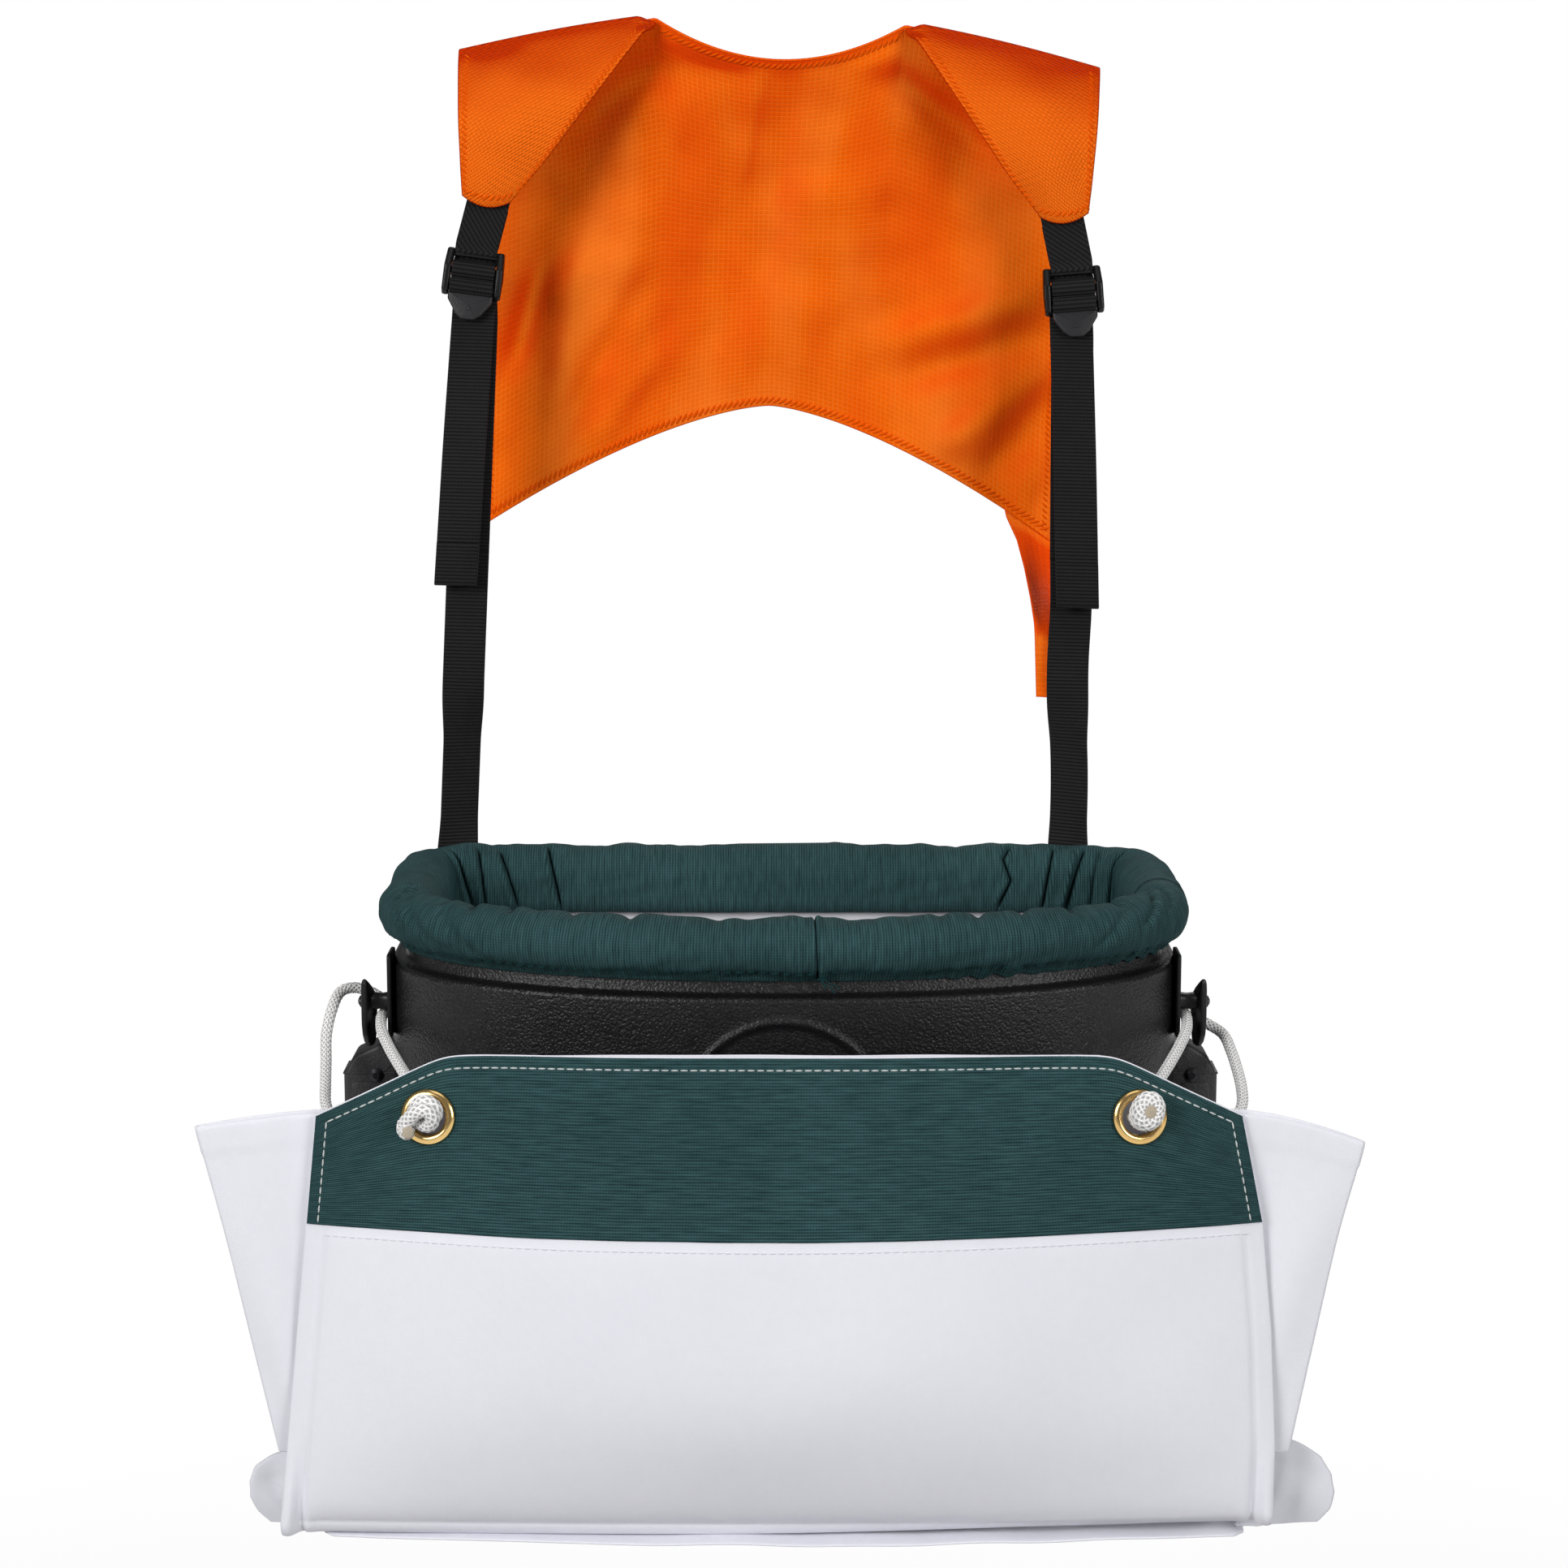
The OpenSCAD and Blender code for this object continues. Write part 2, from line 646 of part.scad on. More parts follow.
module side_lug(side) {
  top_r = lug_reach / 2;
  low_r = lug_reach / 4;
  out = half_w + lug_reach;
  color([0.16, 0.16, 0.17]) in_bag() clear_of_wall() translate([0, lug_w / 2, -lug_drop]) rotate([90, 0, 0])
    linear_extrude(lug_w) mirror([side > 0 ? 0 : 1, 0])
      polygon(concat([[half_w / 2, 4 - lug_h]], corner_arc([out - low_r, low_r - lug_h], low_r, -90, 0),
        corner_arc([out - top_r, -top_r], top_r, 0, 90), [[half_w / 2, 0]]));
}

module lug_rivets() {
  color("silver") in_bag() for (side = [left, right])
    translate([side * (half_w + lug_reach / 3), -lug_w / 2, -lug_drop - lug_h / 3]) rotate([90, 0, 0]) rivet(4);
}

// Canvas skirt

skirt_rings = 6;
skirt_top = -bucket_h + skirt_lap;
skirt_turn = -bucket_h;

// Outline of the skirt's floor, a rounded rectangle
function floor_plan(inset) = let (
  centre = (floor_back - floor_front) / 2,
  deep = (floor_back + floor_front) / 2 - inset
) [
  for (i = [0:plan_points - 1])
    let (angle = 360 * i / plan_points)
      [(floor_w / 2 - inset) * signed_power(cos(angle), 1 / 3), centre + deep * signed_power(sin(angle), 1 / 3)]
];

// Closed section of the skirt, from the lap on the bucket to the floor
function skirt_ring(k, inset) = let (
  share = k / skirt_rings,
  top = plan(gap + canvas_t - inset),
  low = floor_plan(inset),
  level = lerp(skirt_turn, floor_top + gap, share)
) [for (i = [0:plan_points - 1]) concat(lerp(top[i], low[i], smooth(share)), [level])];

module skirt() {
  color("white") in_bag() swept(concat(
    [for (k = [skirt_rings:-1:0]) skirt_ring(k, canvas_t)],
    [[for (p = plan(gap)) [p.x, p.y, skirt_top]]],
    [[for (p = plan(gap + canvas_t)) [p.x, p.y, skirt_top]]],
    [for (k = [0:skirt_rings]) skirt_ring(k, 0)]
  ), closed = true);
}

// Floor that swings down from its back edge; its front lip carries the flap's fold
module skirt_floor() {
  lip = fold_front - floor_front + 20;
  color("white") in_bag() translate([0, 0, -bag_h]) linear_extrude(canvas_t) {
    polygon(floor_plan(0));
    translate([-floor_w / 2 + 20, -fold_front]) square([floor_w - 40, lip]);
  }
}

module skirt_outside() {
  swept([for (k = [0:skirt_rings]) skirt_ring(k, -gap)]);
  translate([0, 0, -bag_h - 1]) linear_extrude(canvas_t + 2 * gap + 1) polygon(floor_plan(-gap));
}

module corner_ear(side) {
  front = floor_front - 4;
  color("white") in_bag() difference() {
    translate([0, -front + ear_t, -bag_h]) rotate([90, 0, 0]) linear_extrude(ear_t) mirror([side > 0 ? 0 : 1, 0])
      polygon([[floor_w / 3, canvas_t + gap], [ear_reach - 6, canvas_t + gap], [ear_reach, ear_h * 0.55],
        [ear_reach - 22, ear_h], [floor_w / 3, ear_h * 0.8]]);
    skirt_outside();
  }
}

band_top = -bucket_h + skirt_lap - 8;

module clamp_band() {
  inner = 2 * gap + canvas_t;
  color([0.1, 0.1, 0.1]) in_bag() plan_ring(inner + band_t, inner, band_top - band_h, band_top);
}

// Clamp rivets stand at even steps along the plan, facing outwards
module band_rivets() {
  outside = 2 * gap + canvas_t + band_t;
  line = plan(outside, 4 * band_rivets);
  color("silver") in_bag() for (i = [0:band_rivets - 1]) {
    p = line[4 * i + 2];
    ahead = line[(4 * i + 3) % len(line)] - line[4 * i + 1];
    translate([p.x, p.y, band_top - band_h / 2]) rotate([0, 0, atan2(-ahead.x, ahead.y)])
      translate([gap, 0, 0]) rotate([0, 90, 0]) rivet();
  }
}

// Front flap

bevel_share = bevel_half / (flap_half - flap_taper);
bevel_steps = 6;
level_steps = 8;
flap_side = concat(
  [for (k = [1:level_steps]) bevel_share * k / level_steps],
  [for (k = [1:bevel_steps]) lerp(bevel_share, 1, k / bevel_steps)]
);
flap_cols = concat([for (k = [len(flap_side) - 1:-1:0]) -flap_side[k]], [0], flap_side);
flap_rows = 16;

function flap_width(t) = flap_half - flap_taper * t;
function flap_edge_y(t) = -fold_front - fold_mid_r + flap_lean * t;
// Face of the flap at a share of its width and of its height
function flap_y(share, t) = flap_edge_y(t) - flap_bulge * sin(150 * t) * (1 - share * share);
function flap_top(share) = 1 - (abs(share) <= bevel_share ? 0
  : bevel_fall / flap_h * (abs(share) - bevel_share) / (1 - bevel_share));

function flap_grid(low, lift, rows) = [
  for (i = [rows:-1:0]) [
    for (share = flap_cols)
      let (t = lerp(low, flap_top(share), i / rows))
        [share * flap_width(t), flap_y(share, t) - lift, fold_z + flap_h * t]
  ]
];

// Place and tilt of an eyelet on the flap's face
eyelet_t = 1 - eyelet_drop / flap_h;
eyelet_share = eyelet_half / flap_width(eyelet_t);
eyelet_face = flap_y(eyelet_share, eyelet_t);
eyelet_turn = atan((flap_y(eyelet_share + 0.02, eyelet_t) - flap_y(eyelet_share - 0.02, eyelet_t))
  / (0.04 * flap_width(eyelet_t)));
eyelet_tip = atan((flap_y(eyelet_share, eyelet_t + 0.03) - flap_y(eyelet_share, eyelet_t - 0.03))
  / (0.06 * flap_h));

// Eyelet frame, with +Z out of the flap's face
module at_eyelet(side) {
  in_bag() translate([side * eyelet_half, eyelet_face, fold_z + flap_h * eyelet_t])
    rotate([0, 0, side * eyelet_turn]) rotate([90 - eyelet_tip, 0, 0]) children();
}

barrel_r = eyelet_r + 0.8;
trim_face = canvas_t / 2 + gap + trim_t;

module eyelet_holes() {
  for (side = [left, right]) at_eyelet(side) cylinder(r = barrel_r + gap, h = 40, center = true);
}

module flap_front_panel() {
  front = flap_grid(0, canvas_t / 2, flap_rows);
  color("white") difference() {
    in_bag() sheet(front, moved(front, canvas_t));
    eyelet_holes();
  }
}

module flap_trim() {
  front = flap_grid(1 - trim_h / flap_h, trim_face, 6);
  color([0.1, 0.24, 0.24]) difference() {
    in_bag() sheet(front, moved(front, trim_t));
    eyelet_holes();
  }
}

back_panel_rise = -6;
back_panel_lean = 16;
back_taper = 14;
function back_y(t) = -fold_front + fold_mid_r + back_panel_lean * t;

// Inner layer of the flap, cut low at its corners where the ropes come out of the mouth
module flap_back_panel() {
  low = flap_h - eyelet_drop - 25;
  corner = flap_width(low / flap_h) - back_taper;
  inner = eyelet_half - 9;
  outer = eyelet_half + 9;
  top = flap_h + back_panel_rise;
  color("white") in_bag() translate([0, -fold_front + fold_mid_r, fold_z])
    rotate([90 - atan(back_panel_lean / flap_h), 0, 0]) linear_extrude(canvas_t, center = true)
      polygon([[-flap_half + back_taper, 0], [flap_half - back_taper, 0], [corner, low - 6], [outer, low],
        [inner, top], [-inner, top], [-outer, low], [-corner, low - 6]]);
}

module bottom_fold() {
  color("white") in_bag() translate([0, -fold_front, fold_z]) intersection() {
    difference() {
      x_bar(fold_r, 2 * flap_half);
      x_bar(fold_r - canvas_t, 2 * flap_half + 1);
    }
    translate([-flap_half - 1, -2 * fold_r, -2 * fold_r]) cube([2 * flap_half + 2, 2 * fold_r, 2 * fold_r]);
  }
}

// Folded side gusset, a wedge of canvas from the flap's edge to its outer fold
function gusset_row(side, share, back) = let (
  t = lerp(0.16, flap_top(1), share),
  edge = flap_width(t),
  outer = lerp(flap_half + 8, gusset_reach, share),
  near = back ? back_y(t) - canvas_t / 2 - gap : flap_edge_y(t) + canvas_t / 2 + gap,
  far = (flap_edge_y(t) + back_y(t)) / 2 + (back ? 1 : -1),
  row = [[edge - back_taper + 1, near], [edge, near], [outer, far]]
) [for (k = side > 0 ? [0, 1, 2] : [2, 1, 0]) [side * row[k][0], row[k][1], fold_z + flap_h * t]];

module gusset(side) {
  rows = 4;
  color("white") in_bag() sheet(
    [for (i = [rows:-1:0]) gusset_row(side, i / rows, false)],
    [for (i = [rows:-1:0]) gusset_row(side, i / rows, true)]
  );
}

// Eyelets, ropes and knots

module eyelet(side) {
  depth = canvas_t + 3 * gap + 1;
  color("goldenrod") at_eyelet(side) {
    translate([0, 0, -depth]) difference() {
      cylinder(r = barrel_r, h = depth + trim_face + gap + flange_t);
      translate([0, 0, -1]) cylinder(r = eyelet_r, h = 40);
    }
    translate([0, 0, trim_face + gap]) rotate_extrude()
      polygon([[eyelet_r, 0], [flange_r, 0], [flange_r - 0.6, flange_t * 0.6], [flange_r - 2.5, flange_t],
        [eyelet_r + 1.5, flange_t], [eyelet_r, flange_t * 0.6]]);
  }
}

module eyelet_washer(side) {
  color("goldenrod") at_eyelet(side) translate([0, 0, -canvas_t / 2 - 2 * gap - 1]) difference() {
    cylinder(r = flange_r - 1, h = 1);
    translate([0, 0, -1]) cylinder(r = barrel_r + pin_gap, h = 3);
  }
}

// Both strands pass the eyelet side by side; the loop goes behind the cleat's tongue
strand = rope_d / 2 + 0.4;
knot_out = trim_face + gap + flange_t + knot_r * 0.7;
rope_z = -cleat_drop + neck_lift - neck_h / 2 - rope_d / 2 - 3 * gap;
rope_x = cleat_face + rope_d / 2 + 1;
rope_run = fold_front - cleat_front;

function eyelet_point(side, across, out) = let (
  tip = [0, -cos(eyelet_tip), sin(eyelet_tip)],
  turn = side * eyelet_turn,
  flat = [across, tip.y * out, tip.z * out]
) [side * eyelet_half, eyelet_face, fold_z + flap_h * eyelet_t]
  + [flat.x * cos(turn) - flat.y * sin(turn), flat.x * sin(turn) + flat.y * cos(turn), flat.z];

// A place on the slack half of the loop: shares of its bow, of the run to the flap, and of its sag
function slack(side, bow, run, sag) = [
  side * (half_w + rope_bow * bow), -cleat_front - rope_run * run, rope_z - rope_sag * sag
];

// A place on the tight half of the loop, from the cleat to the flap's mouth
function tight(side, share) = let (
  cleat_end = [rope_x, -cleat_front - 6, rope_z],
  flap_end = [eyelet_half + 5, -fold_front + 20, fold_z + flap_h * eyelet_t + 1.3]
) lerp([side * cleat_end.x, cleat_end.y, cleat_end.z], [side * flap_end.x, flap_end.y, flap_end.z], share)
  + [side * 4 * sin(180 * pow(share, 0.6)), 0, 0];

function rope_route(side) = [
  eyelet_point(side, -side * strand, knot_out - knot_r * 0.85),
  eyelet_point(side, -side * (strand - 0.5), -2),
  eyelet_point(side, -side * (strand - 3.3), -8),
  tight(side, 1.03),
  tight(side, 0.72),
  tight(side, 0.55),
  tight(side, 0.35),
  tight(side, 0.16),
  [side * (rope_x + 0.2), -cleat_front - 5, rope_z - 0.3],
  [side * (rope_x - 0.2), -cleat_front + 6, rope_z],
  slack(side, 0.19, -0.135, 0.06),
  slack(side, 0.379, -0.18, 0.159),
  slack(side, 0.648, -0.178, 0.266),
  slack(side, 0.9, -0.118, 0.365),
  slack(side, 0.97, 0.026, 0.481),
  slack(side, 1, 0.17, 0.61),
  slack(side, 1, 0.32, 0.73),
  slack(side, 0.94, 0.47, 0.85),
  slack(side, 0.76, 0.59, 0.94),
  slack(side, 0.44, 0.69, 0.985),
  slack(side, 0.09, 0.759, 0.966),
  slack(side, -0.335, 0.819, 0.851),
  eyelet_point(side, side * (strand + 7.7), -9.6),
  eyelet_point(side, side * (strand + 1.6), -1.9),
  eyelet_point(side, side * strand, knot_out - knot_r * 0.85)
];

module rope(side) { color("whitesmoke") in_bag() tube(rope_route(side), rope_d); }

module knot(side) {
  color("whitesmoke") difference() {
    at_eyelet(side) translate([0, 0, knot_out]) {
      sphere(r = knot_r);
      translate([-6, -4, 6]) sphere(r = knot_r * 0.62);
    }
    at_eyelet(side) translate([0, 0, -40]) cylinder(r = 2 * knot_r, h = 40 + knot_out - knot_r * 0.85 + gap);
  }
}

yoke_panel();
shoulder_flap(left);  // left_shoulder_flap
shoulder_flap(right);  // right_shoulder_flap
side_tail(left);  // left_side_tail
side_tail(right);  // right_side_tail
upper_webbing(left);  // left_upper_webbing
upper_webbing(right);  // right_upper_webbing
buckle(left);  // left_buckle
buckle(right);  // right_buckle
strap(left);  // left_strap
strap(right);  // right_strap
strap_end(left);  // left_strap_end
strap_end(right);  // right_strap_end
bucket_shell();
rim_foam();
rim_cover();
bucket_lining();
strap_bracket(left);  // left_strap_bracket
strap_bracket(right);  // right_strap_bracket
bracket_pin(left);  // left_bracket_pin
bracket_pin(right);  // right_bracket_pin
bracket_rivets();
cleat(left);  // left_cleat
cleat(right);  // right_cleat
cleat_rivets();
side_lug(left);  // left_side_lug
side_lug(right);  // right_side_lug
lug_rivets();
skirt();
skirt_floor();
corner_ear(left);  // left_corner_ear
corner_ear(right);  // right_corner_ear
clamp_band();
band_rivets();
flap_front_panel();
flap_back_panel();
bottom_fold();
flap_trim();
gusset(left);  // left_gusset
gusset(right);  // right_gusset
eyelet(left);  // left_eyelet
eyelet(right);  // right_eyelet
eyelet_washer(left);  // left_eyelet_washer
eyelet_washer(right);  // right_eyelet_washer
rope(left);  // left_rope
rope(right);  // right_rope
knot(left);  // left_knot
knot(right);  // right_knot
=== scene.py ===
import math

import bpy
import numpy as np
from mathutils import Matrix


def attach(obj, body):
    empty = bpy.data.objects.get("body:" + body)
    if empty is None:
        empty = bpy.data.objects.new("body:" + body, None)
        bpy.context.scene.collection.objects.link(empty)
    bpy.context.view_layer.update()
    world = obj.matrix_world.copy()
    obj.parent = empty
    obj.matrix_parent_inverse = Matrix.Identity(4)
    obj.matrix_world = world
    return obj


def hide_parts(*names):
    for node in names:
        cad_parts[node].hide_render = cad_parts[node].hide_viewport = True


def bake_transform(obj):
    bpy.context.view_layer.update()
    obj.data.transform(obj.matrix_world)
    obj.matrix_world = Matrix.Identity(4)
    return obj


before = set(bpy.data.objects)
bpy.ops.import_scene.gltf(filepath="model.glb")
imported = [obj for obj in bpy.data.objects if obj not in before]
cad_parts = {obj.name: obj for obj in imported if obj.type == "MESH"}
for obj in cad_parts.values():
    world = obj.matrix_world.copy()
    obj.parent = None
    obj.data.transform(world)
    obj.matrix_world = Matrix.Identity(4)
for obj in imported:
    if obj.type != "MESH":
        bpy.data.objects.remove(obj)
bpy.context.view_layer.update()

# Shapes are written in millimetres, in the bag's own frame or in the leaning harness's, and turned into metres of the
# part's frame by bag() and harness(). Thicknesses of cloth, webbing and stitches are in metres.
MM = 0.001
BAG_AT = np.array([0.0, -172.0, -500.0])
HARNESS_LEAN = math.radians(1.6)
HARNESS_SHIFT = -2.0
LEFT, RIGHT = -1, 1
SIDES = ((LEFT, "left"), (RIGHT, "right"))
BUCKET_HALF_W, BUCKET_HALF_D = 222, 114
BUCKLE_AT = np.array([176.0, -24.0, -141.0])  # middle of the right buckle's top bar, in the harness
WEB_W, WEB_T = 0.025, 0.0016  # metres
ROPE_R, BRAID_YARNS, BRAID_PITCH = 3.2, 7, 0.0036  # pitch in metres
RIPSTOP_GRID = 0.0031  # metres


def bag(points):
    """Bag-frame millimetres to the part's metres."""
    return (np.asarray(points, float) + BAG_AT) * MM


def harness(points):
    """Leaning-harness millimetres to the part's metres."""
    p = np.asarray(points, float)
    c, s = math.cos(HARNESS_LEAN), math.sin(HARNESS_LEAN)
    return np.stack([HARNESS_SHIFT + p[..., 0] * c + p[..., 2] * s, p[..., 1],
                     -p[..., 0] * s + p[..., 2] * c], -1) * MM


def lerp(a, b, t):
    """From a to b by the share t."""
    return a + (b - a) * t


def smooth(t):
    """0 to 1 with soft ends."""
    t = np.clip(t, 0.0, 1.0)
    return t * t * (3 - 2 * t)


def unit(v):
    v = np.asarray(v, float)
    return v / np.maximum(np.linalg.norm(v, axis=-1, keepdims=True), 1e-12)


def full_turn(count):
    """Angles at even steps once round."""
    return np.linspace(0, 2 * math.pi, count, endpoint=False)


def distances(line):
    """Distance run so far at each point of a line."""
    return np.concatenate([[0], np.cumsum(np.linalg.norm(np.diff(line, axis=0), axis=1))])


def ripple(x, y, seed, size):
    """Soft, even unevenness of hand-laid cloth, between about -1 and 1."""
    rng = np.random.default_rng(seed)
    total = np.zeros(np.broadcast(x, y).shape)
    for _ in range(9):
        turn = rng.uniform(0, 2 * math.pi)
        rate = rng.uniform(0.6, 1.6) * 2 * math.pi / size
        total += np.sin(rate * (x * math.cos(turn) + y * math.sin(turn)) + rng.uniform(0, 2 * math.pi))
    return total / 4.5


# Camera, at the photograph's angle

camera = bpy.data.objects.new("camera", bpy.data.cameras.new("camera"))
bpy.context.scene.collection.objects.link(camera)
camera.location = (0.0, -2.072, -0.096)
camera.rotation_euler = (math.radians(80.1), 0.0, 0.0)
camera.data.sensor_width = 36.0
camera.data.lens = 78.63
camera.data.clip_end = 50.0
bpy.context.scene.camera = camera


# Shader groups

def group(name, inputs, outputs):
    """A shader group with its sockets."""
    tree = bpy.data.node_groups.new(name, "ShaderNodeTree")
    for label, kind, value in inputs:
        socket = tree.interface.new_socket(name=label, in_out="INPUT", socket_type=kind)
        if value is not None:
            socket.default_value = value
    for label, kind in outputs:
        tree.interface.new_socket(name=label, in_out="OUTPUT", socket_type=kind)
    return tree, tree.nodes.new("NodeGroupInput"), tree.nodes.new("NodeGroupOutput")


FLOAT, VECTOR, COLOUR = "NodeSocketFloat", "NodeSocketVector", "NodeSocketColor"


def put_in(tree, socket, value):
    """A number, a vector, a colour or another node's output into an input; None leaves it as it is."""
    if isinstance(value, (int, float, tuple)):
        socket.default_value = value
    elif value is not None:
        tree.links.new(value, socket)


def feed(tree, node, **values):
    """Several inputs of a node by name, with _ for a space."""
    for label, value in values.items():
        put_in(tree, node.inputs[label.replace("_", " ")], value)


def add(tree, kind, **values):
    """A new shader node with its inputs fed."""
    node = tree.nodes.new("ShaderNode" + kind)
    feed(tree, node, **values)
    return node


def sum_up(tree, kind, a, b=None, clamp=False):
    """One Math node; a and b are sockets or numbers."""
    node = add(tree, "Math")
    node.operation = kind
    node.use_clamp = clamp
    for socket, value in zip(node.inputs, (a, b)):
        put_in(tree, socket, value)
    return node.outputs[0]


def vector_sum(tree, kind, a, b=None):
    """Outputs of one Vector Math node."""
    node = add(tree, "VectorMath")
    node.operation = kind
    for socket, value in zip(node.inputs, (a, b)):
        put_in(tree, socket, value)
    return node.outputs


def mix_colour(tree, factor, a, b):
    node = add(tree, "Mix")
    node.data_type = "RGBA"
    for index, value in ((0, factor), (6, a), (7, b)):
        put_in(tree, node.inputs[index], value)
    return node.outputs[2]


def noise(tree, place, scale, detail=3.0, rough=0.55):
    return add(tree, "TexNoise", Vector=place, Scale=scale, Detail=detail, Roughness=rough).outputs["Fac"]


def ramp(tree, value, low, high):
    """Value stretched so that low becomes 0 and high becomes 1."""
    return add(tree, "MapRange", Value=value, From_Min=low, From_Max=high).outputs["Result"]


def parts_of(tree, place):
    """X and Y of a vector."""
    split = add(tree, "SeparateXYZ", Vector=place)
    return split.outputs[0], split.outputs[1]


def thread_weave():
    """Over-and-under threads; place is in metres along and across the cloth."""
    tree, start, end = group("thread weave",
                             [("Place", VECTOR, None), ("Pitch", FLOAT, 0.001), ("Rib", FLOAT, 0.0)],
                             [("Height", FLOAT), ("Gaps", FLOAT)])
    rate = sum_up(tree, "DIVIDE", 1.0, start.outputs["Pitch"])
    across, along = [sum_up(tree, "MULTIPLY", way, rate) for way in parts_of(tree, start.outputs["Place"])]
    warp = sum_up(tree, "ABSOLUTE", sum_up(tree, "SINE", sum_up(tree, "MULTIPLY", across, math.pi)))
    weft = sum_up(tree, "ABSOLUTE", sum_up(tree, "SINE", sum_up(tree, "MULTIPLY", along, math.pi)))
    cell = sum_up(tree, "ADD", sum_up(tree, "FLOOR", across), sum_up(tree, "FLOOR", along))
    over = sum_up(tree, "PINGPONG", cell, 1.0)
    up = sum_up(tree, "MULTIPLY", warp, sum_up(tree, "ADD", 0.55, sum_up(tree, "MULTIPLY", weft, 0.45)))
    flat = sum_up(tree, "MULTIPLY", weft, sum_up(tree, "ADD", 0.55, sum_up(tree, "MULTIPLY", warp, 0.45)))
    woven = sum_up(tree, "ADD", sum_up(tree, "MULTIPLY", up, over),
                   sum_up(tree, "MULTIPLY", flat, sum_up(tree, "SUBTRACT", 1.0, over)))
    ribbed = sum_up(tree, "MULTIPLY", weft, start.outputs["Rib"])
    plain = sum_up(tree, "MULTIPLY", woven, sum_up(tree, "SUBTRACT", 1.0, start.outputs["Rib"]))
    height = sum_up(tree, "ADD", ribbed, plain)
    feed(tree, end, Height=height, Gaps=sum_up(tree, "SUBTRACT", 1.0, height, True))
    return tree


def uneven_dye():
    """Slow and fine colour change of dyed or handled material."""
    tree, start, end = group("uneven dye",
                             [("Place", VECTOR, None), ("Colour", COLOUR, None), ("Deep", COLOUR, None),
                              ("Amount", FLOAT, 0.5)],
                             [("Colour", COLOUR), ("Blotch", FLOAT)])
    slow = ramp(tree, noise(tree, start.outputs["Place"], 9.0, 2.0), 0.35, 0.68)
    fine = ramp(tree, noise(tree, start.outputs["Place"], 140.0, 4.0, 0.7), 0.3, 0.72)
    both = sum_up(tree, "ADD", sum_up(tree, "MULTIPLY", slow, 0.65), sum_up(tree, "MULTIPLY", fine, 0.35))
    share = sum_up(tree, "MULTIPLY", both, start.outputs["Amount"], True)
    feed(tree, end, Colour=mix_colour(tree, share, start.outputs["Colour"], start.outputs["Deep"]), Blotch=both)
    return tree


def pebble_grain():
    """Moulded grain of rough plastic, with the grain tops that get a painted highlight and a few worn places."""
    tree, start, end = group("pebble grain", [("Place", VECTOR, None), ("Scale", FLOAT, 900.0)],
                             [("Height", FLOAT), ("Tops", FLOAT), ("Worn", FLOAT)])
    place = start.outputs["Place"]
    cells = add(tree, "TexVoronoi", Vector=place, Scale=start.outputs["Scale"])
    cells.feature = "SMOOTH_F1"
    speck = noise(tree, place, 1100.0, 2.0)
    height = sum_up(tree, "ADD", sum_up(tree, "SUBTRACT", 1.0, cells.outputs["Distance"]),
                    sum_up(tree, "MULTIPLY", speck, 0.6))
    feed(tree, end, Height=height, Tops=ramp(tree, height, 0.86, 1.12),
         Worn=ramp(tree, noise(tree, place, 22.0, 6.0, 0.7), 0.56, 0.78))
    return tree


def slub_streaks():
    """Thicker and thinner yarns that run along the ribs of a coarse cloth."""
    tree, start, end = group("slub streaks", [("Place", VECTOR, None)], [("Streak", FLOAT)])
    drawn_out = vector_sum(tree, "MULTIPLY", start.outputs["Place"], (60.0, 560.0, 1.0))["Vector"]
    feed(tree, end, Streak=ramp(tree, noise(tree, drawn_out, 1.0, 3.0, 0.6), 0.32, 0.7))
    return tree


def turned_aside():
    """0 where cloth faces the front or the back, up to 1 where it turns aside; the mask for painted shade."""
    tree, start, end = group("turned aside", [("Low", FLOAT, 0.0), ("High", FLOAT, 0.3)], [("Aside", FLOAT)])
    normal = add(tree, "NewGeometry").outputs["Normal"]
    forward = vector_sum(tree, "DOT_PRODUCT", normal, (0.0, -1.0, 0.0))["Value"]
    aside = sum_up(tree, "SUBTRACT", 1.0, sum_up(tree, "ABSOLUTE", forward))
    feed(tree, end, Aside=ramp(tree, aside, start.outputs["Low"], start.outputs["High"]))
    return tree


WEAVE, DYE, GRAIN, SLUB, ASIDE = thread_weave(), uneven_dye(), pebble_grain(), slub_streaks(), turned_aside()


# Materials

def srgb(r, g, b):
    """Colour as seen on a screen, 0 to 255, to the shader's linear colour."""
    return tuple((c / 255 / 12.92 if c / 255 <= 0.04045 else ((c / 255 + 0.055) / 1.055) ** 2.4)
                 for c in (r, g, b)) + (1.0,)


def blank_material(name):
    """A material, its nodes, its Principled shader and its coordinates."""
    material = bpy.data.materials.new(name)
    material.use_nodes = True
    tree = material.node_tree
    return material, tree, tree.nodes["Principled BSDF"], add(tree, "TexCoord").outputs


def use_group(tree, which, **values):
    """One of the shader groups in a material, with its inputs fed."""
    node = add(tree, "Group")
    node.node_tree = which
    feed(tree, node, **values)
    return node.outputs


def bump(tree, shader, height, strength, distance):
    raised = add(tree, "Bump", Height=height, Strength=strength, Distance=distance)
    feed(tree, shader, Normal=raised.outputs["Normal"])


